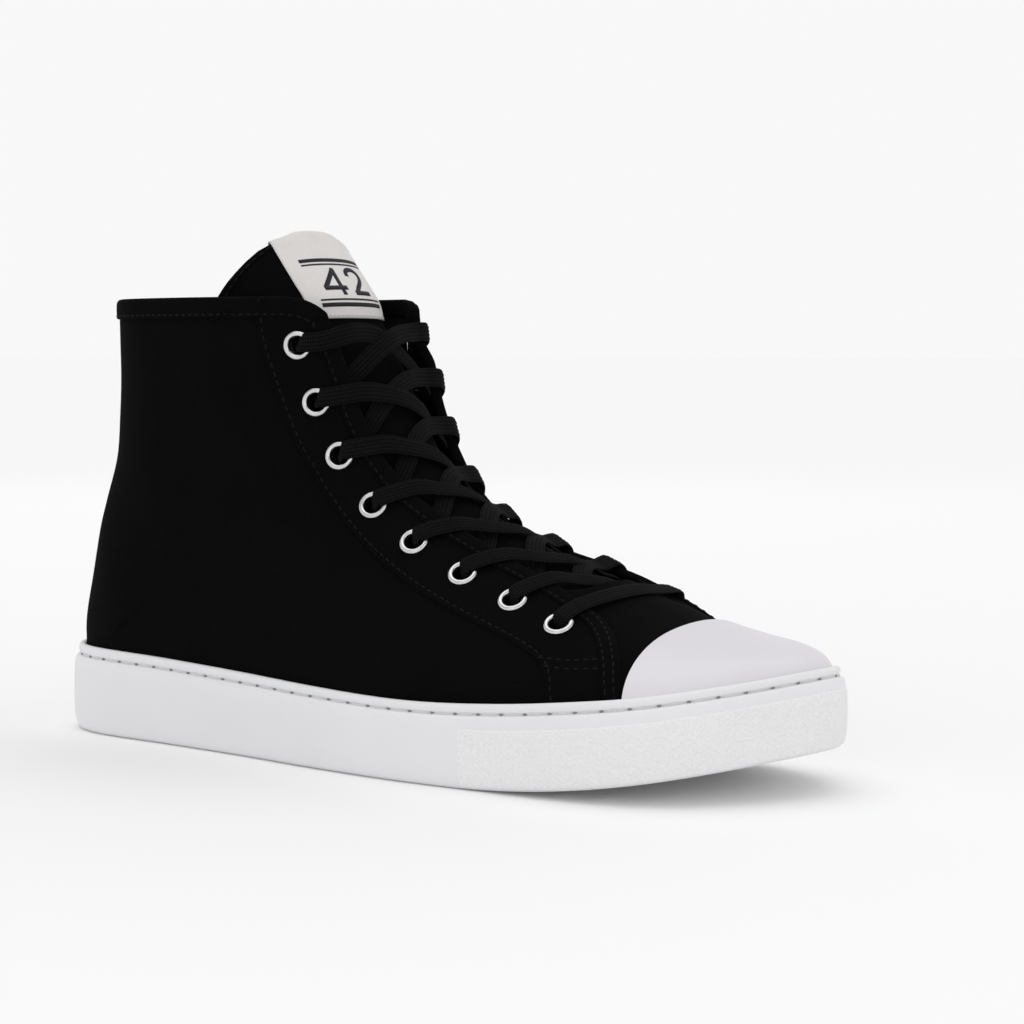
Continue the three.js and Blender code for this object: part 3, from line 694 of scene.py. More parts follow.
def laid_flat(grid, normals, side):
    """Cloth coordinates that keep the weave square and level all over a curved panel.

    Each is the smooth field whose steps along the grid's edges come closest to the steps along the
    cloth's own directions: forward, and up or towards the ridge.
    """
    lean = smoothstep(grid[..., 0], 110, 160)[..., None]
    pull = np.array([0, 0, 1.0]) + lean * np.array([0, -side, 0])
    up = unit(pull - normals * (normals * pull).sum(-1, keepdims=True))
    forward = -side * np.cross(up, normals)

    def field(direction):
        steps = [
            (np.diff(grid, axis=k) * (direction[:-1] + direction[1:] if k == 0
                                      else direction[:, :-1] + direction[:, 1:])).sum(-1) / 2
            for k in (0, 1)
        ]

        def gathered(along, across):
            total = np.zeros(grid.shape[:2])
            total[1:] += along
            total[:-1] -= along
            total[:, 1:] += across
            total[:, :-1] -= across
            return total

        values = np.zeros(grid.shape[:2])
        rest = gathered(*steps)
        search = rest.copy()
        power = (rest**2).sum()
        for _ in range(700):
            spread = gathered(np.diff(search, axis=0), np.diff(search, axis=1))
            size = power / max((search * spread).sum(), 1e-12)
            values += size * search
            rest -= size * spread
            fresh = (rest**2).sum()
            search = rest + search * fresh / max(power, 1e-12)
            power = fresh
            if power < 1e-6:
                break
        return values

    return np.stack([field(forward), field(up)], -1)


def add_wall(piece, thickness, inner_material=0, even=True):
    """Gives a sheet its thickness inwards."""
    wall = piece.modifiers.new("wall", "SOLIDIFY")
    wall.thickness = thickness / 1000
    wall.offset = -1
    wall.use_even_offset = even
    wall.material_offset = inner_material
    wall.material_offset_rim = 0


def soften(piece, width, segments):
    """Rounds a piece's sharp edges."""
    soft = piece.modifiers.new("soft_edge", "BEVEL")
    soft.width = width / 1000
    soft.segments = segments
    soft.limit_method = "ANGLE"
    soft.angle_limit = math.radians(50)


def finish_piece(piece, slot, *nodes):
    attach(piece, "root")
    if nodes:
        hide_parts(*nodes)
    return piece


# ---------------------------------------------------------------- eyelet places


def eyelet_places():
    """Name, middle on the upper's face and outward direction of each eyelet."""
    places = {}
    for number, (row, reach) in enumerate(EYELETS, start=1):
        for name, side in SIDES.items():
            turn = turn_at(row, side * reach)
            places[f"{name}_{number}"] = (skin(row, turn, 0.0), last_normal(row, turn))
    return places


EYELET_PLACES = eyelet_places()


def punch(piece, radius):
    """Opens the eyelet holes in a sheet and rounds their edges to a true circle."""
    shell = bmesh.new()
    shell.from_mesh(piece.data)
    shell.faces.ensure_lookup_table()
    for middle, normal in EYELET_PLACES.values():
        middle = Vector(placed(middle))
        normal = Vector(normal)
        reach = radius / 1000
        near = [f for f in shell.faces if (f.calc_center_median() - middle).length < reach]
        bmesh.ops.delete(shell, geom=near, context="FACES")
        for vert in shell.verts:
            off = vert.co - middle
            if off.length < reach * 1.6 and vert.is_boundary:
                height = off.dot(normal)
                flat = off - normal * height
                vert.co = middle + normal * height + flat.normalized() * reach
    loose = [v for v in shell.verts if not v.link_faces]
    bmesh.ops.delete(shell, geom=loose, context="VERTS")
    shell.to_mesh(piece.data)
    shell.free()


# ---------------------------------------------------------------- upper


def upper_rows():
    """Rows of the upper's grid, closest together at the throat's front end."""
    vamp = np.linspace(0, 7.4, 64)
    throat = [7.44, 7.446, 7.455, 7.468, 7.485, 7.51, 7.54, 7.58, 7.63, 7.7, 7.8, 7.9]
    leg = np.linspace(8, 16.5, 78)
    collar = np.linspace(16.6, COLLAR_ROW, 38)
    return np.concatenate([vamp, throat, leg, collar])


def add_upper():
    rows = upper_rows()
    ways = np.linspace(0, 1, 62)
    sheets = Sheets()
    for side in (LATERAL, MEDIAL):
        start = opening_turn(rows, side)
        end = level_turn(rows, side, lambda x: sole_floor(x) + CLEAR)
        turns = side * mix(start[:, None], end[:, None], ways[None, :])
        grid = skin(rows[:, None], turns, np.zeros(turns.shape))
        grid[0, :, 1] = grid[0, :, 1].mean()
        cloth = laid_flat(grid, last_normal(rows[:, None], turns), side)
        sheets.add(grid, cloth, flip=side == MEDIAL)
    upper = sheets.piece("canvas_upper", CANVAS, LINING)
    punch(upper, EYELET_HOLE)
    add_wall(upper, WALL, inner_material=1, even=False)
    return finish_piece(upper, "canvas", "upper")


add_upper()

# ---------------------------------------------------------------- facings

# Each cross line of a facing: its inner end, on the throat's edge or the front edge, and its outer end.
FACING = [
    # station innerRow innerReach outerRow outerReach
    [0, 19.75, 31, 19.8, 50.0],
    [1, 18.15, 26.0, 18.90, 49.9],
    [2, 17.08, 24.4, 17.62, 50.0],
    [3, 15.30, 22.9, 16.33, 48.9],
    [4, 13.40, 21.6, 14.89, 48.0],
    [5, 11.99, 20.7, 13.42, 46.5],
    [6, 11.09, 20.7, 12.36, 44.4],
    [7, 10.25, 20.6, 11.20, 43.6],
    [8, 9.28, 20.2, 9.90, 45.0],
    [9, 8.40, 20.7, 8.86, 46.4],
    [10, 7.78, 21.6, 8.02, 47.0],
    [11, 7.26, 23.4, 7.52, 48.4],
    [12, 6.86, 26.2, 7.27, 50.4],
    [13, 6.52, 30.6, 7.10, 53.6],
    [14, 6.20, 36.2, 6.99, 58.0],
    [15, 5.90, 43.0, 6.90, 63.0],
    [16, 5.66, 51.0, 6.84, 68.0],
    [17, 5.50, 60.0, 6.80, 73.0],
]
STRIP_TOP_ROW = 17.0


def facing_lines(side, count):
    """Rows and turns of the inner and the outer edge, from the collar down behind the lip."""
    at = np.linspace(0, len(FACING) - 1, count)
    inner_row, inner_reach, outer_row, outer_reach = smooth(FACING, at).T
    on_vamp = turn_at(inner_row, side * inner_reach)
    on_throat = side * opening_turn(inner_row, side)
    vamp = 1 - smoothstep(inner_row, EDGE_ROW - 0.35, EDGE_ROW + 0.35)
    inner_turn = mix(on_throat, on_vamp, vamp)
    outer_turn = turn_at(outer_row, side * outer_reach)
    return inner_row, inner_turn, outer_row, outer_turn


def strip_on_last(row, turn, away, offsets, lifts):
    """A strip along a line of the last: offsets run from the line across the surface, to the side that
    `away` (1 or -1) says, and lifts stand off it. Lifts are one for each offset, or a whole grid."""
    line = last_point(row, turn)
    normal = last_normal(row, turn)
    along = unit(np.gradient(line, axis=0))
    aside = unit(np.cross(normal, along)) * away
    offsets = np.asarray(offsets, float)
    wanted = line[:, None] + aside[:, None] * offsets[None, :, None]
    shape = wanted.shape[:2]
    rows = np.broadcast_to(row[:, None], shape)
    turns = np.broadcast_to(turn[:, None], shape)
    rows, turns = settle(wanted, rows, turns)
    return rows, turns, skin(rows, turns, np.broadcast_to(lifts, shape))


# Across the facing's outer edge: how far in from it, and the lift. The dip is under the stitches.
FACING_EDGE = [
    [0, -0.15], [0.05, 0.35], [0.2, 0.66], [0.45, 0.8], [0.8, 0.84], [1.15, 0.8], [1.45, 0.68],
    [1.7, 0.6], [1.95, 0.68], [2.25, 0.8], [2.7, 0.84], [3.4, 0.82],
]
FACING_THICKNESS = 0.7


def add_facing(name, side):
    inner_row, inner_turn, outer_row, outer_turn = facing_lines(side, 300)
    inner = last_point(inner_row, inner_turn)
    outer = last_point(outer_row, outer_turn)
    width = np.linalg.norm(outer - inner, axis=1)
    from_edge, lift = np.array(FACING_EDGE).T
    ways = np.linspace(0, 0.82, 26)
    share = np.concatenate([
        np.broadcast_to(ways, (len(width), len(ways))),
        (1 - from_edge[None, ::-1] / width[:, None]),
    ], axis=1)
    lifts = np.concatenate([np.full(len(ways), FACING_LIFT), lift[::-1]])
    rows = mix(inner_row[:, None], outer_row[:, None], share)
    inner_reach = reach_of(inner_row, inner_turn)
    outer_reach = reach_of(outer_row, outer_turn)
    turns = turn_at(rows, mix(inner_reach[:, None], outer_reach[:, None], share))
    grid = skin(rows, turns, np.broadcast_to(lifts, rows.shape))
    facing = Sheets().add(grid, flip=side == LATERAL).piece(f"facing_{name}", CANVAS)
    punch(facing, EYELET_HOLE)
    add_wall(facing, FACING_THICKNESS)
    return finish_piece(facing, "canvas")


def reach_of(row, turn):
    """Signed millimetres round each row's section from the ridge to a turn."""
    share = np.linspace(0, 1, 48)
    points = last_point(np.asarray(row)[:, None], np.asarray(turn)[:, None] * share)
    return np.sign(turn) * np.linalg.norm(np.diff(points, axis=1), axis=2).sum(1)


for label, sign in SIDES.items():
    add_facing(label, sign)

# The binding strip along the throat's edge: folded round the canvas there, flat on the vamp in front.
STRIP = [
    # offset lift
    [5.6, 0.5], [5.58, 1.1], [5.4, 1.5], [5.0, 1.6], [4.5, 1.38], [4.1, 1.56], [3.2, 1.62], [2.2, 1.62],
    [1.2, 1.55], [0.45, 1.3], [0.0, 0.85], [-0.35, 0.2], [-0.5, -0.5], [-0.45, -1.4], [-0.2, -2.0],
    [0.4, -2.45], [1.4, -2.55], [3.4, -2.55], [4.2, -2.5], [4.25, -2.1],
]


def throat_line(side, count):
    inner_row, inner_turn, _, _ = facing_lines(side, count)
    below = inner_row < STRIP_TOP_ROW
    return inner_row[below], inner_turn[below]


def add_throat_strip(name, side):
    row, turn = throat_line(side, 520)
    profile = np.array(STRIP)
    vamp = 1 - smoothstep(row, EDGE_ROW - 0.4, EDGE_ROW + 0.2)[:, None]
    lifts = mix(profile[None, :, 1], np.maximum(profile[None, :, 1], -0.4), vamp)
    _, _, grid = strip_on_last(row, turn, side * 1.0, profile[:, 0], lifts)
    strip = Sheets().add(grid, flip=side == MEDIAL).piece(f"throat_strip_{name}", CANVAS)
    return finish_piece(strip, "canvas")


for label, sign in SIDES.items():
    add_throat_strip(label, sign)

# ---------------------------------------------------------------- collar binding

BINDING_START_ROW = 16.55
BINDING = [
    # offset lift
    [6.3, -0.2], [6.28, 0.55], [6.1, 0.92], [5.7, 1.02], [5.2, 0.94], [4.7, 1.0], [3.8, 1.04], [2.6, 1.04],
    [1.4, 1.0], [0.5, 0.85], [0.0, 0.5], [-0.4, 0.0], [-0.55, -0.7], [-0.45, -1.5], [-0.15, -2.1],
    [0.5, -2.5], [1.5, -2.6], [4.5, -2.6], [5.6, -2.5], [5.7, -2.05],
]


def collar_line():
    """The collar's edge from the lateral throat, round the heel, to the medial throat."""
    rows = np.concatenate([np.linspace(BINDING_START_ROW, 19.9, 110), np.full(1, COLLAR_ROW)])
    lateral = -opening_turn(rows, LATERAL)
    medial = opening_turn(rows, MEDIAL)
    round_heel = np.linspace(lateral[-1], medial[-1] - 2, 420)[1:-1]
    row = np.concatenate([rows, np.full(len(round_heel), COLLAR_ROW), rows[::-1]])
    turn = np.concatenate([lateral, round_heel, medial[::-1] - 2])
    line = last_point(row, turn)
    walked = walk(line)
    at = np.linspace(0, walked[-1], 520)
    return np.interp(at, walked, row), np.interp(at, walked, turn)


def add_collar_binding():
    row, turn = collar_line()
    profile = np.array(BINDING)
    _, _, grid = strip_on_last(row, turn, 1.0, profile[:, 0], profile[:, 1])
    binding = Sheets().add(grid, flip=True).piece("collar_binding", CANVAS)
    return finish_piece(binding, "canvas")


add_collar_binding()

# ---------------------------------------------------------------- toe cap


def add_toe_cap():
    ways = np.linspace(0, 1, 72)
    across = np.linspace(-1, 1, 121)

    def edge_turn(row, side):
        return level_turn(row, side, lambda x: lip_top(x) - CAP_TUCK)

    def turn_of(row, place):
        reach = np.where(place < 0, edge_turn(row, LATERAL), edge_turn(row, MEDIAL))
        return place * reach

    def behind_seam(row):
        points = last_point(row, turn_of(row, across))
        return points[:, 0] < smooth(CAP_REAR, points[:, 1])

    seam_row = bisect(behind_seam, np.full(across.shape, 4.0), np.full(across.shape, 7.5))
    rows = seam_row[None, :] * ways[:, None] ** 0.8
    turns = np.stack([turn_of(row, across) for row in rows])
    lift = CLEAR + CAP_THICKNESS
    grid = last_point(rows, turns) + last_normal(rows, turns) * lift
    grid[0, :, 1] = grid[0, :, 1].mean()
    cap = Sheets().add(grid, flip=True).piece("toe_cap_shell", TOE_RUBBER)
    add_wall(cap, lift + 0.1)
    soften(cap, 0.5, 3)
    return finish_piece(cap, "toe_rubber", "toe_cap")


add_toe_cap()

# ---------------------------------------------------------------- cup sole

WALL_PROFILE = np.array([
    # reach share rise: the tread's recess, the rim, the sidewall, the stitched groove and the lip
    [-4.5, 0, 1.5], [-4.5, 0, 0.35], [-4.3, 0, 0.05], [-4.0, 0, 0], [1.0, 0, 0], [1.9, 0.004, 0],
    [2.6, 0.014, 0], [3.2, 0.032, 0], [3.75, 0.062, 0], [4.2, 0.11, 0], [4.5, 0.17, 0], [4.66, 0.24, 0],
    [4.72, 0.32, 0], [4.74, 0.42, 0], [4.72, 0.52, 0], [4.66, 0.62, 0], [4.56, 0.7, 0], [4.42, 0.77, 0],
    [4.2, 0.815, 0], [3.9, 0.84, 0], [3.45, 0.856, 0], [2.9, 0.863, 0], [2.35, 0.867, 0],
    [2.0, 0.874, 0], [2.0, 0.884, 0], [2.3, 0.89, 0], [2.62, 0.898, 0], [2.82, 0.915, 0],
    [2.9, 0.94, 0], [2.88, 0.965, 0], [2.78, 1, -0.7], [2.55, 1, -0.3], [2.2, 1, -0.06], [1.8, 1, 0],
    [1.3, 1, -0.02], [0.9, 1, -0.16], [0.6, 1, -0.45], [0.42, 1, -0.9],
])
INNER_DROPS = [3.0, FEATHER_DEPTH, 9.5]
GROOVE_SHARE = 0.879


def ladder(ring, rungs=9):
    """Closes a ring that starts at the heel, with rungs from its medial to its lateral half."""
    half = len(ring) // 2
    medial = ring[: half + 1]
    lateral = np.concatenate([ring[:1], ring[::-1]])[: half + 1]
    way = np.linspace(0, 1, rungs)[None, :, None]
    return mix(medial[:, None], lateral[:, None], way)


def ringed_sheets(rings):
    """A closed skin through rings of stations, with both ends laddered."""
    rings = np.asarray(rings)
    sheets = Sheets().add(np.concatenate([rings, rings[:, :1]], axis=1))
    return sheets.add(ladder(rings[0])).add(ladder(rings[-1]))


def add_cup_sole():
    rings = [sole_ring(*row) for row in WALL_PROFILE]
    for drop in INNER_DROPS:
        rings.append(level_loop(lambda x, d=drop: lip_top(x) - d, 0.35, STATIONS))
    rings.append(level_loop(sole_floor, 0.35, STATIONS))
    sole = ringed_sheets(rings).piece("cup_sole", SOLE_RUBBER, outward=True)
    return finish_piece(sole, "sole_rubber", "outsole")


add_cup_sole()

HEEL_GROOVES = [18, 32, 46, 60, 74]
FOREFOOT_GROOVES = [156, 170, 184, 198, 212, 226, 240, 254, 268, 280]
GROOVE_WIDTH = 2.4
ARCH = (88, 142)
TREAD_REACH = -4.3
TREAD_DEPTH = 1.62
TREAD_END_GAP = 0.6


def add_tread():
    """The blocks between the tread's grooves, each cut to the rim."""
    rim = sole_ring(TREAD_REACH, 0, 0)
    half = len(rim) // 2
    medial, lateral = rim[:half], rim[half:][::-1]
    heel_end, toe_end = rim[:, 0].min(), rim[:, 0].max()
    starts = [heel_end + TREAD_END_GAP, *(g + GROOVE_WIDTH for g in HEEL_GROOVES)]
    ends = [*HEEL_GROOVES, ARCH[0]]
    starts += [ARCH[1], *(g + GROOVE_WIDTH for g in FOREFOOT_GROOVES)]
    ends += [*FOREFOOT_GROOVES, toe_end - TREAD_END_GAP]
    sheets = Sheets()
    for start, end in zip(starts, ends):
        x = np.linspace(start, end, 7)
        y_medial = np.interp(x, medial[:, 0], medial[:, 1])
        y_lateral = np.interp(x, lateral[:, 0], lateral[:, 1])
        y = mix(y_medial[:, None], y_lateral[:, None], np.linspace(0, 1, 13)[None, :])
        low = np.stack([np.broadcast_to(x[:, None], y.shape), y, sole_bottom(x)[:, None] + 0 * y], -1)
        high = low + np.array([0, 0, TREAD_DEPTH])
        sheets.add(low).add(high, flip=True)
        for part in (np.s_[0], np.s_[-1], np.s_[:, 0], np.s_[:, -1]):
            sheets.add(np.stack([low[part], high[part]]))
    tread = sheets.piece("tread_blocks", SOLE_RUBBER, outward=True)
    soften(tread, 0.35, 2)
    return finish_piece(tread, "sole_rubber")


add_tread()

KNURL_START_X = 201.0
KNURL_WIDTH = 2.3
KNURL_ROWS = 11
KNURL_HEIGHT = 0.5
KNURL_SHARES = (0.02, 0.715)  # the band's two edges, as shares of the way up the sidewall
KNURL_STEPS = 6  # across each pyramid
SIDEWALL_HEIGHT = 26.0
SIDEWALL_PROFILE = WALL_PROFILE[4:20]


def add_knurled_foxing():
    """The knurled band round the forefoot: rows of small pyramids, square at its rear ends."""
    ahead = FEATHER[:, 0] + FEATHER_OUT[:, 0] * SIDEWALL_REACH > KNURL_START_X
    first, last = np.flatnonzero(ahead)[[0, -1]]
    base = sole_ring(SIDEWALL_REACH, 0.4, 0)[first:last + 1]
    walked = walk(base)
    at = np.linspace(0, walked[-1], KNURL_STEPS * round(walked[-1] / KNURL_WIDTH) + 1)
    seats = np.stack([np.interp(at, walked, FEATHER[first:last + 1, k]) for k in range(3)], 1)
    out = unit(np.stack([np.interp(at, walked, FEATHER_OUT[first:last + 1, k]) for k in range(3)], 1))
    share = np.linspace(*KNURL_SHARES, KNURL_STEPS * KNURL_ROWS + 1)
    reach = np.interp(share, SIDEWALL_PROFILE[:, 1], SIDEWALL_PROFILE[:, 0])
    foot = seats[:, None] + out[:, None] * reach[None, :, None]
    foot[..., 2] = mix(sole_bottom(foot[..., 0]), lip_top(foot[..., 0]), share[None, :])
    along = np.arange(len(at))[:, None] / KNURL_STEPS
    rise = np.arange(len(share))[None, :] / KNURL_STEPS
    a, b = along + rise, along - rise

    def ridge(t):
        return 1 - np.abs((t % 1) * 2 - 1)

    border = np.minimum(
        np.minimum(at, at[-1] - at)[:, None] / 0.5,
        np.minimum(share - share[0], share[-1] - share)[None, :] * SIDEWALL_HEIGHT / 0.6,
    )
    height = 0.06 + KNURL_HEIGHT * ridge(a) * ridge(b)
    height = np.where(border <= 0, -0.15, height * np.clip(border, 0.3, 1))
    grid = foot + out[:, None] * height[..., None]
    # The band's lighter rubber is painted light; it is the sole's own rubber.
    band = Sheets().add(grid, flip=True).piece("knurled_foxing", LIT_KNURL_RUBBER)
    return finish_piece(band, "sole_rubber")


add_knurled_foxing()

INSOLE_RINGS = [
    # height above the cup's floor, lift off the upper's inside
    [0.05, -1.2], [0.1, -0.4], [2.0, -0.4], [3.6, -0.4], [3.95, -0.7], [4.0, -1.3],
]
INSOLE_STATIONS = 480


def add_insole():
    """The sock inside: its rim follows the upper's inside."""
    rings = [
        level_loop(lambda x, h=height: sole_floor(x) + CLEAR + h, lift - WALL, INSOLE_STATIONS)
        for height, lift in INSOLE_RINGS
    ]
    insole = ringed_sheets(rings).piece("sock_insole", LINING, outward=True)
    return finish_piece(insole, "lining", "insole")


add_insole()

# ---------------------------------------------------------------- tongue

TONGUE = np.array([
    # row turn sunk
    [6.9, 0.16, 0], [8, 0.2, 0], [10, 0.23, 0], [12, 0.26, 0.5], [13.5, 0.29, 2], [15, 0.33, 4.4],
    [16.5, 0.37, 7.6], [18, 0.41, 10.6],
])
TONGUE_END = [
    # x z tip turn
    [116.4, 150, 8, 0.44], [111.8, 156.3, 14, 0.425], [107.4, 162, 18, 0.39], [103.6, 167, 21, 0.315],
    [101.2, 170.2, 22, 0.2], [99.8, 172.3, 22, 0.07],
]
TONGUE_STATIONS = 49
TONGUE_BAND = 7.5
BAND_LIFT = 0.4
SEAM_DIP = 0.45


def tongue_section(row, reach, sunk):
    turns = np.linspace(-reach, reach, TONGUE_STATIONS)
    rows = np.full(turns.shape, float(row))
    face = last_point(rows, turns) - last_normal(rows, turns) * (WALL + TONGUE_CLEARANCE)
    return face - np.array([sunk, 0, 0])


def tongue_sections():
    """Sections of the tongue's face, from under the vamp to its free end above the collar."""
    rows = np.linspace(TONGUE[0, 0], TONGUE[-1, 0], 16)
    sections = [tongue_section(row, *smooth(TONGUE, row)) for row in rows]
    last = TONGUE[-1, 0]
    crest = tongue_section(last, 0.001, 0)[TONGUE_STATIONS // 2]
    for x, z, tip, reach in TONGUE_END:
        lean = np.array(Matrix.Rotation(math.radians(-tip), 3, "Y"))
        section = (tongue_section(last, reach, 0) - crest) @ lean.T
        sections.append(section + np.array([x, crest[1], z]))
    return np.array(sections)


TONGUE_SECTIONS = tongue_sections()
TONGUE_WALKED = walk(TONGUE_SECTIONS[:, TONGUE_STATIONS // 2])
TONGUE_LENGTH = TONGUE_WALKED[-1]


def tongue_lines(along):
    """Whole sections of the tongue's face, at millimetres up from its lower end."""
    rows = np.concatenate([TONGUE_WALKED[:, None], TONGUE_SECTIONS.reshape(len(TONGUE_SECTIONS), -1)], 1)
    return smooth(rows, np.asarray(along, float)).reshape(-1, TONGUE_STATIONS, 3)


def tongue_face(along, across):
    """Points of the tongue's face: millimetres up from its lower end, and across from its middle."""
    along, across = np.broadcast_arrays(np.asarray(along, float), np.asarray(across, float))
    sections = tongue_lines(along.ravel())
    middle = TONGUE_STATIONS // 2
    found = []
    for section, offset in zip(sections, across.ravel()):
        walked = walk(section)
        at = walked[middle] + offset
        found.append([np.interp(at, walked, section[:, k]) for k in range(3)])
    return np.array(found).reshape(*along.shape, 3)


def tongue_half_widths(along):
    """How far the tongue reaches from its middle to its lateral and to its medial edge."""
    walked = np.linalg.norm(np.diff(tongue_lines(along), axis=1), axis=2)
    middle = TONGUE_STATIONS // 2
    return walked[:, :middle].sum(1), walked[:, middle:].sum(1)


def tongue_skin(along, across, lift):
    """Points lifted off the tongue's face, and the directions they are lifted in."""
    step = 0.4
    up = tongue_face(along + step, across) - tongue_face(along - step, across)
    aside = tongue_face(along, across + step) - tongue_face(along, across - step)
    normal = unit(np.cross(aside, up))
    return tongue_face(along, across) + normal * np.asarray(lift)[..., None], normal


def add_tongue():
    along = np.linspace(0, TONGUE_LENGTH, 130)
    lateral, medial = tongue_half_widths(along)
    inset = np.concatenate([TONGUE_BAND * np.array([0, 0.06, 0.2, 0.4, 0.6, 0.8, 0.9]),
                            TONGUE_BAND + np.array([-0.25, -0.05, 0.15, 0.4, 0.7, 1.1])])
    ways = np.linspace(0, 1, 14)[1:]
    halves = []
    for half in (lateral, medial):
        outer = np.minimum(inset, half[:, None] * np.linspace(0, 0.7, len(inset)))
        inner = mix(outer[:, -1:], half[:, None], ways)
        halves.append(half[:, None] - np.concatenate([outer, inner], axis=1))
    across = np.concatenate([-halves[0], halves[1][:, -2::-1]], axis=1)
    grid = tongue_face(np.broadcast_to(along[:, None], across.shape), across)
    place = np.concatenate([inset, TONGUE_BAND + 2 + ways])
    place = np.concatenate([place, place[-2::-1]])
    band = BAND_LIFT * (place < TONGUE_BAND - 0.1) - SEAM_DIP * (np.abs(place - TONGUE_BAND) < 0.2)
    band = band[None, :] * smoothstep(TONGUE_LENGTH - along, 3, 8)[:, None]
    up = unit(np.gradient(grid, axis=0))
    aside = unit(np.gradient(grid, axis=1))
    grid = grid + unit(np.cross(aside, up)) * band[..., None]
    tongue = Sheets().add(grid, flip=True).piece("tongue_body", CANVAS)
    add_wall(tongue, TONGUE_THICKNESS, even=False)
    return finish_piece(tongue, "canvas", "tongue")


add_tongue()

# ---------------------------------------------------------------- label

LABEL_HALF = 20.5
LABEL_LOW_Z = 143.6
LABEL_CLEAR = 0.25
LABEL_BEND = 1.9
LABEL_BEHIND = 12.0
LABEL_THICKNESS = 0.4


def label_start():
    """How far up the tongue the label's lower edge lies."""
    along = np.linspace(0, TONGUE_LENGTH, 400)
    height = tongue_face(along, np.zeros(along.shape))[:, 2]
    return float(np.interp(LABEL_LOW_Z, height, along))


LABEL_START = label_start()


def tongue_top(across):
    """How far up the tongue its rounded top edge lies, at a distance across from its middle."""
    along = np.linspace(LABEL_START, TONGUE_LENGTH, 200)
    half = np.minimum(*tongue_half_widths(along)) - 0.5
    return np.interp(-np.abs(across), -half, along) - 0.4


def label_point(across, up, lift):
    """Points on the label: across from its middle and up from its lower edge; past the tongue's top
    edge it folds over and hangs down behind."""
    across, up, lift = np.broadcast_arrays(*(np.asarray(v, float) for v in (across, up, lift)))
    along = LABEL_START + up
    top = tongue_top(across)
    past = np.maximum(along - top, 0)
    angle = np.clip(past / LABEL_BEND, 0, math.pi)
    behind = np.maximum(past - math.pi * LABEL_BEND, 0)
    clear = np.minimum(np.minimum(along, top), TONGUE_LENGTH - 0.9)
    base, normal = tongue_skin(clear, across, np.zeros(across.shape))
    direction = unit(base - tongue_face(clear - 1.0, across))
    base = tongue_face(np.minimum(along, top), across)
    radius = LABEL_BEND + LABEL_CLEAR + lift
    folded = (
        base
        + normal * (np.cos(angle) * radius - LABEL_BEND)[..., None]
        + direction * (np.sin(angle) * radius - behind)[..., None]
    )
    return np.where((past > 0)[..., None], folded, base + normal * (lift + LABEL_CLEAR)[..., None])


def add_label():
    across = np.linspace(-LABEL_HALF, LABEL_HALF, 43)
    top = tongue_top(across) - LABEL_START
    up = np.concatenate([
        np.linspace(0, 1, 34)[:, None] * (top - 0.05),
        top + np.linspace(0.02, LABEL_BEHIND, 22)[:, None],
    ])
    grid = label_point(across[None, :], up, 0.25)
    cloth = np.stack(np.broadcast_arrays(across[None, :], up), -1)
    label = Sheets().add(grid, cloth, flip=True).piece("tongue_label", TAPE)
    add_wall(label, LABEL_THICKNESS, even=False)
    return finish_piece(label, "label")


add_label()

FIGURE_LIFT = 0.36
FIGURE_THICKNESS = 0.2
FIGURE_MIDDLE = 13.8
FIGURE_STROKE = 0.85
FIGURES = [
    # a generic size number, as strokes (across, up)
    [(-3.4, 5.6), (-3.4, -5.6)],
    [(-3.0, 5.3), (-10.4, -2.3)],
    [(-11.2, -2.7), (-0.8, -2.7)],
    [(2.6, 2.3), (2.9, 3.9), (4.4, 5.0), (6.3, 5.2), (8.2, 4.6), (9.2, 3.0), (8.9, 1.2), (7.4, -0.7),
     (5.2, -2.6), (2.9, -4.9)],
    [(2.2, -4.8), (10.2, -4.8)],
]
LABEL_BARS = [
    # low high, up from the label's lower edge
    [4.0, 5.4], [6.2, 6.8], [20.8, 21.4], [22.2, 23.6],
]
BAR_HALF = 15


def figure_stroke(points):
    """The two edges and the middle of a stroke's ribbon."""
    points = np.array(points, float)
    path = smooth(np.concatenate([np.arange(len(points))[:, None], points], 1),
                  np.linspace(0, len(points) - 1, 8 * len(points)))
    aside = unit(np.gradient(path, axis=0))[:, ::-1] * [1, -1]
    return path[:, None] + aside[:, None] * FIGURE_STROKE * np.array([-1, 0, 1])[None, :, None]


def add_woven(name, sheets):
    """Figures or bars woven into the label."""
    piece = sheets.piece(name, LABEL_THREAD)
    add_wall(piece, FIGURE_THICKNESS)
    return finish_piece(piece, "label")


def add_label_figures():
    """A size number between plain woven bars: generic figures only."""
    figures = Sheets()
    for k, stroke in enumerate(FIGURES):
        flat = figure_stroke(stroke)
        lift = FIGURE_LIFT + 0.01 * k
        figures.add(label_point(flat[..., 0], flat[..., 1] + FIGURE_MIDDLE, lift), flip=True)
    add_woven("label_figures", figures)
    bars = Sheets()
    for low, high in LABEL_BARS:
        up = np.linspace(low, high, 4)
        across = np.linspace(-BAR_HALF, BAR_HALF, 40)
        bars.add(label_point(across[None, :], up[:, None], FIGURE_LIFT), flip=True)
    add_woven("label_bars", bars)


add_label_figures()

# ---------------------------------------------------------------- eyelets

RING_PROFILE = np.array([
    # radius height: up the bore, over the rolled flange, under it, down the barrel, and the clenched foot
    [2.85, -2.6], [2.85, 0.3], [2.88, 0.8], [3.0, 1.15], [3.22, 1.46], [3.52, 1.68], [3.88, 1.75],
    [4.22, 1.66], [4.52, 1.43], [4.74, 1.12], [4.82, 0.82], [4.6, 0.72], [3.4, 0.7], [3.05, 0.4],
    [3.05, -2.2], [4.0, -2.25], [4.3, -2.5], [4.2, -2.8], [3.6, -2.95], [3.0, -2.9],
])
RING_SEGMENTS = 48


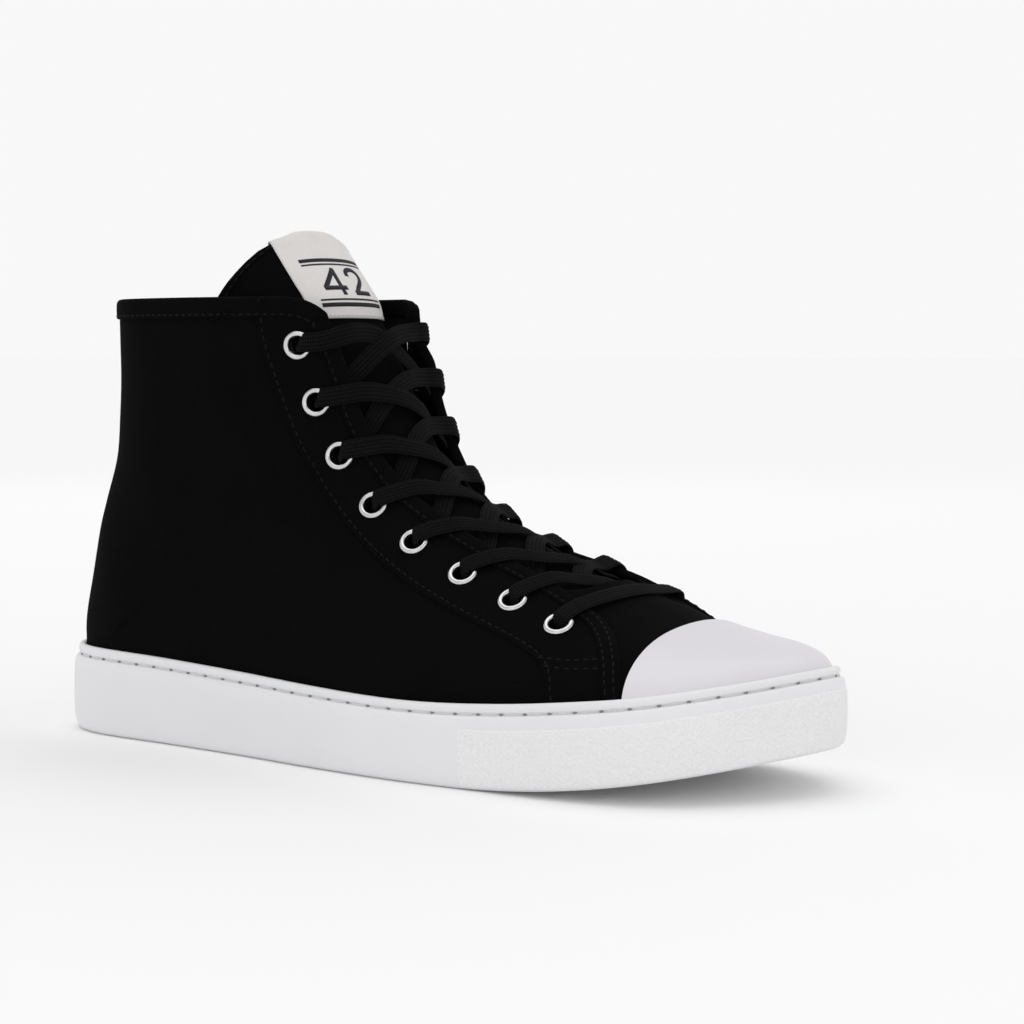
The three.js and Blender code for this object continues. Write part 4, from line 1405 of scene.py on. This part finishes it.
def add_eyelets():
    angles = np.linspace(0, 2 * math.pi, RING_SEGMENTS + 1)
    profile = np.concatenate([RING_PROFILE, RING_PROFILE[:1]])
    for name, (middle, normal) in EYELET_PLACES.items():
        aside = unit(np.cross(normal, [0, 0, 1.0]))
        up = np.cross(aside, normal)
        circle = np.cos(angles)[:, None] * aside + np.sin(angles)[:, None] * up
        grid = (
            middle
            + circle[None] * profile[:, 0, None, None]
            + normal * profile[:, 1, None, None]
        )
        ring = Sheets().add(grid).piece(f"eyelet_ring_{name}", NICKEL, outward=True)
        finish_piece(ring, "nickel", f"eyelet_{name}")


add_eyelets()

# ---------------------------------------------------------------- laces

# Each run comes up from behind one eyelet, passes under the facing's edge and crosses over to the
# eyelet above on the other side. way 0 is the lower eyelet's row and 1 the upper one's; reach runs
# round from the ridge, positive towards the eyelet that the run goes into.
RUN_HOLE = [[32.4, 1.0, 2.1], [34.1, 1.0, 0.9], [34.8, 1.0, -1.2], [34.6, 1.0, -3.0]]
OVER_RUN = [
    # reach way lift
    [-34.5, 0.0, -3.1], [-29, 0.0, -3.2], [-24, -0.04, -3.2], [-20, -0.06, -3.2], [-13, 0.02, -2.9],
    [-6, 0.17, -2.5], [1, 0.35, -1.9], [8, 0.5, -1.2], [13, 0.6, -0.3], [17, 0.69, 1.0], [20.5, 0.76, 2.1],
    [24, 0.82, 2.45], [28, 0.9, 2.5], *RUN_HOLE,
]
UNDER_RUN = [
    [-34.5, 0.0, -3.1], [-29, 0.02, -3.2], [-24, 0.08, -3.2], [-20, 0.16, -3.2], [-14, 0.34, -2.9],
    [-8, 0.56, -2.75], [-2, 0.76, -2.6], [4, 0.89, -2.4], [10, 0.96, -1.9], [14, 0.99, -0.8],
    [17, 1.01, 1.0], [19.5, 1.02, 2.1], [23, 1.03, 2.35], [28, 1.02, 2.4], *RUN_HOLE,
]
# How much further than the table each lateral run sags towards the toe, from the top lace down.
SAGS = [-0.38, 0.0, 0.05, 0.06, 0.26, 0.34, 0.16]
TOP_RUN_RISE = 1.6  # the top medial run passes over the lateral one, all the others under it
BAR_RUN = [
    [-34.6, 0, -3.0], [-34.8, 0, -1.2], [-34.1, 0.0, 0.9], [-32.4, 0.0, 2.1], [-28, -0.04, 2.5],
    [-23, -0.1, 2.4], [-12, -0.2, 1.3], [0, -0.24, 0.85], [12, -0.2, 1.5], [23, -0.1, 2.4], [28, -0.04, 2.5],
    *([reach, 0.0, lift] for reach, _, lift in RUN_HOLE),
]
OUTER_REACH = 35.0  # the reach that the runs' tables are drawn for


def lace_profile():
    """Half the lace's width across and its thickness, round one section, with lengthwise ribs."""
    across = np.sin(np.linspace(-math.pi / 2, math.pi / 2, 31))
    ribs = 0.1 * np.cos(2 * math.pi * LACE_RIBS * across / 2 + math.pi)
    edge = np.sqrt(np.maximum(1 - np.abs(across) ** 5, 0))
    top = (LACE_THICKNESS / 2 - 0.1 + ribs) * edge
    face = np.stack([across * LACE_WIDTH / 2, top], 1)
    back = np.stack([across[::-1] * LACE_WIDTH / 2, -top[::-1]], 1)
    return np.concatenate([face, back[1:]])


LACE_PROFILE = lace_profile()


def lace_run(points, normals, narrow):
    """Sweeps the lace through points; narrow is how far it is pinched there, in a hole."""
    count = len(points)
    keys = np.arange(count, dtype=float)
    at = np.linspace(0, count - 1, 150)
    line = smooth(np.concatenate([keys[:, None], points], 1), at)
    facing = unit(smooth(np.concatenate([keys[:, None], normals], 1), at))
    pinch = np.clip(smooth(np.stack([keys, narrow], 1), at), 0, 1)
    walked = walk(line)
    along = unit(np.gradient(line, axis=0))
    chord = unit(points[-3] - points[2])
    wide = np.cross(facing, chord)
    wide = unit(wide - along * (wide * along).sum(1, keepdims=True))
    thick = np.cross(along, wide)
    width = mix(1.0, 0.66, pinch)[:, None, None]
    depth = mix(1.0, 1.5, pinch)[:, None, None]
    grid = (
        line[:, None]
        + wide[:, None] * LACE_PROFILE[None, :, :1] * width
        + thick[:, None] * LACE_PROFILE[None, :, 1:] * depth
    )
    around = LACE_PROFILE[:, 0]
    cloth = np.stack(np.broadcast_arrays(around[None, :], walked[:, None]), -1)
    return grid, cloth


def run_points(table, side, upper_row, lower_row, upper_reach, sag=0.0, rise=0.0):
    """Points and outward directions of one run's table."""
    reach, way, lift = np.array(table, float).T
    way = way - sag * smoothstep(reach, -26, 6) * (1 - smoothstep(reach, 8, 33))
    lift = lift + rise * np.exp(-((reach + 4) / 9) ** 2)
    scaled = reach * upper_reach / OUTER_REACH
    rows = lower_row + way * (upper_row - lower_row)
    turns = turn_at(rows, side * scaled)
    return skin(rows, turns, lift), last_normal(rows, turns)


def add_lace(name, runs, node):
    sheets = Sheets()
    for points, normals in runs:
        narrow = np.zeros(len(points))
        narrow[-3:] = [0.6, 1, 1]
        narrow[:3] = [1, 1, 0.6] if len(runs) == 1 else [1, 0.4, 0]
        grid, cloth = lace_run(points, normals, narrow)
        sheets.add(grid, cloth)
    lace = sheets.piece(name, LACE, weld=0.01)
    shell = bmesh.new()
    shell.from_mesh(lace.data)
    bmesh.ops.holes_fill(shell, edges=[e for e in shell.edges if e.is_boundary])
    bmesh.ops.recalc_face_normals(shell, faces=shell.faces)
    shell.to_mesh(lace.data)
    shell.free()
    return finish_piece(lace, "lace", node)


def add_laces():
    for number in range(1, len(EYELETS)):
        upper_row, reach = EYELETS[number - 1]
        lower_row = EYELETS[number][0]
        rise = TOP_RUN_RISE if number == 1 else 0.0
        places = upper_row, lower_row, reach
        runs = [
            run_points(OVER_RUN, LATERAL, *places, sag=SAGS[number - 1], rise=-rise),
            run_points(UNDER_RUN, MEDIAL, *places, rise=rise * 1.2),
        ]
        add_lace(f"lace_over_{number}", runs, f"lace_crossing_{number}")
    row, reach = EYELETS[-1]
    bar = run_points(BAR_RUN, MEDIAL, row + 1, row, reach)
    add_lace(f"lace_bar_{len(EYELETS)}_woven", [bar], f"lace_bar_{len(EYELETS)}")


add_laces()

# ---------------------------------------------------------------- stitching


def stitch_tree():
    """Geometry nodes: a stitch at every pitch along the edges of a path, its top turned outwards."""
    tree = bpy.data.node_groups.new("stitch_rows", "GeometryNodeTree")
    sockets = (("Path", "NodeSocketGeometry"), ("Pitch", "NodeSocketFloat"),
               ("Stitch", "NodeSocketObject"), ("Thread", "NodeSocketMaterial"))
    for name, kind in sockets:
        tree.interface.new_socket(name, in_out="INPUT", socket_type=kind)
    tree.interface.new_socket("Sewn", in_out="OUTPUT", socket_type="NodeSocketGeometry")
    nodes, links = tree.nodes, tree.links
    given = nodes.new("NodeGroupInput")
    done = nodes.new("NodeGroupOutput")
    curve = nodes.new("GeometryNodeMeshToCurve")
    points = nodes.new("GeometryNodeCurveToPoints")
    points.mode = "LENGTH"
    out = nodes.new("GeometryNodeInputNamedAttribute")
    out.data_type = "FLOAT_VECTOR"
    out.inputs["Name"].default_value = "out"
    turned = nodes.new("FunctionNodeAxesToRotation")
    turned.primary_axis = "X"
    turned.secondary_axis = "Z"
    shape = nodes.new("GeometryNodeObjectInfo")
    sown = nodes.new("GeometryNodeInstanceOnPoints")
    real = nodes.new("GeometryNodeRealizeInstances")
    thread = nodes.new("GeometryNodeSetMaterial")
    links.new(given.outputs["Path"], curve.inputs["Mesh"])
    links.new(curve.outputs["Curve"], points.inputs["Curve"])
    links.new(given.outputs["Pitch"], points.inputs["Length"])
    links.new(points.outputs["Tangent"], turned.inputs["Primary Axis"])
    links.new(out.outputs["Attribute"], turned.inputs["Secondary Axis"])
    links.new(given.outputs["Stitch"], shape.inputs["Object"])
    links.new(points.outputs["Points"], sown.inputs["Points"])
    links.new(shape.outputs["Geometry"], sown.inputs["Instance"])
    links.new(turned.outputs["Rotation"], sown.inputs["Rotation"])
    links.new(sown.outputs["Instances"], real.inputs["Geometry"])
    links.new(real.outputs["Geometry"], thread.inputs["Geometry"])
    links.new(given.outputs["Thread"], thread.inputs["Material"])
    links.new(thread.outputs["Geometry"], done.inputs["Sewn"])
    return tree


STITCH_TREE = stitch_tree()


def stitch_shape(length, width, height):
    """One stitch: a bowed grain of thread along X, its ends diving, with a few dozen faces."""
    ways = np.array([-1, -0.86, -0.5, 0, 0.5, 0.86, 1])
    swell = np.array([0.05, 0.62, 0.95, 1, 0.95, 0.62, 0.05])
    angles = np.linspace(0, 2 * math.pi, 9)
    grid = np.zeros((len(ways), len(angles), 3))
    grid[..., 0] = (ways * length / 2)[:, None]
    grid[..., 1] = swell[:, None] * np.cos(angles) * width / 2
    grid[..., 2] = swell[:, None] * np.sin(angles) * height / 2 - (ways**2 * height * 0.55)[:, None]
    return Sheets().add(grid + FOOTPRINT_MIDDLE).piece("stitch_shape", outward=True)


def sew(name, slot, paths, pitch, size, thread):
    """Rows of stitches along paths of (points, outward directions, closed)."""
    mesh = bpy.data.meshes.new("stitch_path")
    points = np.concatenate([path[0] for path in paths])
    outward = np.concatenate([path[1] for path in paths])
    edges = []
    start = 0
    for line, _, closed in paths:
        edges += [(start + k, start + k + 1) for k in range(len(line) - 1)]
        if closed:
            edges.append((start + len(line) - 1, start))
        start += len(line)
    mesh.from_pydata(placed(points).tolist(), edges, [])
    attribute = mesh.attributes.new("out", "FLOAT_VECTOR", "POINT")
    attribute.data.foreach_set("vector", outward.ravel())
    path = bpy.data.objects.new("stitch_path", mesh)
    bpy.context.scene.collection.objects.link(path)
    shape = stitch_shape(*size)
    modifier = path.modifiers.new("stitches", "NODES")
    modifier.node_group = STITCH_TREE
    values = {"Pitch": pitch / 1000, "Stitch": shape, "Thread": thread}
    for item in STITCH_TREE.interface.items_tree:
        if item.in_out == "INPUT" and item.name in values:
            modifier[item.identifier] = values[item.name]
    depsgraph = bpy.context.evaluated_depsgraph_get()
    sewn = bpy.data.meshes.new_from_object(path.evaluated_get(depsgraph))
    path.modifiers.remove(modifier)
    bpy.data.objects.remove(path)
    bpy.data.objects.remove(shape)
    sewn.polygons.foreach_set("use_smooth", [True] * len(sewn.polygons))
    piece = bpy.data.objects.new(name, sewn)
    bpy.context.scene.collection.objects.link(piece)
    return finish_piece(piece, slot)


def offset_line(row, turn, away, offset, lift):
    rows, turns, points = strip_on_last(row, turn, away, [offset], [lift])
    return points[:, 0], last_normal(rows[:, 0], turns[:, 0]), False


CROSS_ROW_HEIGHTS = (38.6, 40.8)
CROSS_ROW_LIFT = 0.86


def cross_row(side, height):
    """A level row of stitches across the front of the facing."""
    inner_row, inner_turn, outer_row, outer_turn = facing_lines(side, 300)
    ends = []
    for row, turn in ((inner_row, inner_turn), (outer_row, outer_turn)):
        up = skin(row, turn, np.zeros(300))[150:, 2]
        nearest = int(np.argmin(np.abs(up - height))) + 150
        ends.append((row[nearest], reach_of(row, turn)[nearest]))
    share = np.linspace(0.18, 0.93, 30)
    rows = mix(ends[0][0], ends[1][0], share)
    turns = turn_at(rows, mix(ends[0][1], ends[1][1], share))
    return skin(rows, turns, np.full(30, CROSS_ROW_LIFT)), last_normal(rows, turns), False


def canvas_rows():
    """Tonal stitches: round the facing, along the throat, across the facing's front, round the collar."""
    paths = []
    for side in (LATERAL, MEDIAL):
        _, _, row, turn = facing_lines(side, 300)
        paths.append(offset_line(row, turn, -side * 1.0, 1.7, 0.78))
        row, turn = throat_line(side, 300)
        paths.append(offset_line(row, turn, side * 1.0, 4.5, 1.5))
        front = row < 7.3
        paths.append(offset_line(row[front], turn[front], side * 1.0, 1.8, 1.68))
        paths += [cross_row(side, height) for height in CROSS_ROW_HEIGHTS]
    row, turn = collar_line()
    paths.append(offset_line(row, turn, 1.0, 5.2, 0.98))
    return paths


sew("canvas_stitching", "canvas", canvas_rows(), 3.0, (2.2, 0.62, 0.5), BLACK_THREAD)


def tongue_rows():
    """The rows just inside the seam of the tongue's edge band, one a side."""
    along = np.linspace(20, TONGUE_LENGTH - 3.6, 160)
    lateral, medial = tongue_half_widths(along)
    inset = TONGUE_BAND - 1.4
    lift = np.full(160, BAND_LIFT + 0.02)
    return [(*tongue_skin(along, across, lift), False) for across in (inset - lateral, medial - inset)]


sew("tongue_stitching", "canvas", tongue_rows(), 3.0, (2.2, 0.6, 0.5), BLACK_THREAD)


def label_rows():
    """Fine stitches along the label's lower edge."""
    across = np.linspace(-LABEL_HALF + 1, LABEL_HALF - 1, 60)
    low = label_point(across, np.full(60, 1.0), np.full(60, 0.3))
    out = unit(label_point(across, np.full(60, 1.0), np.full(60, 1.3)) - low)
    return [(low, out, False)]


sew("label_stitching", "label", label_rows(), 1.7, (1.3, 0.35, 0.3), PALE_THREAD)

SOLE_PITCH = 8.8


def sole_row(reach, start):
    """The cup's stitched groove as one closed row, evenly walked from `start` mm on."""
    ring = np.concatenate([sole_ring(reach, GROOVE_SHARE, 0), FEATHER_OUT], axis=1)
    ring = np.concatenate([ring, ring[:1]])
    walked = walk(ring[:, :3])
    at = (start + walked[-1] * np.arange(STATIONS) / STATIONS) % walked[-1]
    row = np.stack([np.interp(at, walked, column) for column in ring.T], axis=1)
    return row[:, :3], unit(row[:, 3:]), True


sew("sole_stitching", "white_thread", [sole_row(2.35, 0)], SOLE_PITCH, (7.9, 1.3, 1.1), WHITE_THREAD)
# Painted shadow: grey grains between the sole's stitches, for the shade where the thread dives into the
# groove.
between = [sole_row(2.42, SOLE_PITCH / 2)]
sew("needle_holes", "sole_rubber", between, SOLE_PITCH, (1.3, 1.1, 0.7), NEEDLE_HOLE_SHADE)

# ---------------------------------------------------------------- floor and lights

FLOOR_REACH = 60  # metres
FLOOR_TONE = 0.95
FLOOR_GLOW = 0.022


def add_floor():
    """A wide pale studio floor that meets an equally pale surround."""
    corners = [(x * FLOOR_REACH, y * FLOOR_REACH, 0) for x, y in ((-1, -1), (1, -1), (1, 1), (-1, 1))]
    mesh = bpy.data.meshes.new("studio_floor")
    mesh.from_pydata(corners, [], [(0, 1, 2, 3)])
    shading = Shading("studio_floor", Roughness=1.0, Emission_Strength=FLOOR_GLOW)
    shading.surface.inputs["Base Color"].default_value = (*[FLOOR_TONE] * 3, 1)
    shading.surface.inputs["Emission Color"].default_value = (1, 1, 1, 1)
    shading.surface.inputs["Specular IOR Level"].default_value = 0
    mesh.materials.append(shading.material)
    floor = bpy.data.objects.new("studio_floor", mesh)
    bpy.context.scene.collection.objects.link(floor)


add_floor()


def area_light(name, spot, aim, size, power):
    light = bpy.data.lights.new(name, "AREA")
    light.shape = "DISK"
    light.size = size
    light.energy = power
    holder = bpy.data.objects.new(name, light)
    bpy.context.scene.collection.objects.link(holder)
    holder.location = spot
    holder.rotation_euler = (Vector(aim) - Vector(spot)).to_track_quat("-Z", "Y").to_euler()


# The studio's surround: pale to a little above the horizon, dimmer above it, bright overhead.
SKY = [
    # height brightness
    [0.0, 0.94], [0.34, 0.94], [0.5, 0.6], [0.76, 0.6], [0.88, 1.5], [1.0, 1.5],
]
SKY_TOP = 1.5


def add_lights():
    world = bpy.data.worlds.new("studio")
    bpy.context.scene.world = world
    world.use_nodes = True
    nodes, links = world.node_tree.nodes, world.node_tree.links
    place = nodes.new("ShaderNodeTexCoord")
    split = nodes.new("ShaderNodeSeparateXYZ")
    ramp = nodes.new("ShaderNodeValToRGB")
    links.new(place.outputs["Generated"], split.inputs[0])
    links.new(split.outputs[2], ramp.inputs[0])
    links.new(ramp.outputs[0], nodes["Background"].inputs["Color"])
    nodes["Background"].inputs["Strength"].default_value = SKY_TOP
    stops = ramp.color_ramp.elements
    while len(stops) < len(SKY):
        stops.new(1.0)
    for stop, (height, brightness) in zip(stops, SKY):
        stop.position = height
        stop.color = (*[brightness / SKY_TOP] * 3, 1)
    area_light("front", (0.5, -1.6, 0.8), (0, 0, 0.08), 0.9, 1.0)
    area_light("toe_side", (1.7, -0.5, 0.7), (0.05, 0, 0.06), 0.7, 0.7)
    area_light("heel_side", (-1.2, 1.2, 0.9), (0, 0, 0.08), 0.8, 0.6)
    bpy.context.scene.view_settings.view_transform = "Standard"


add_lights()
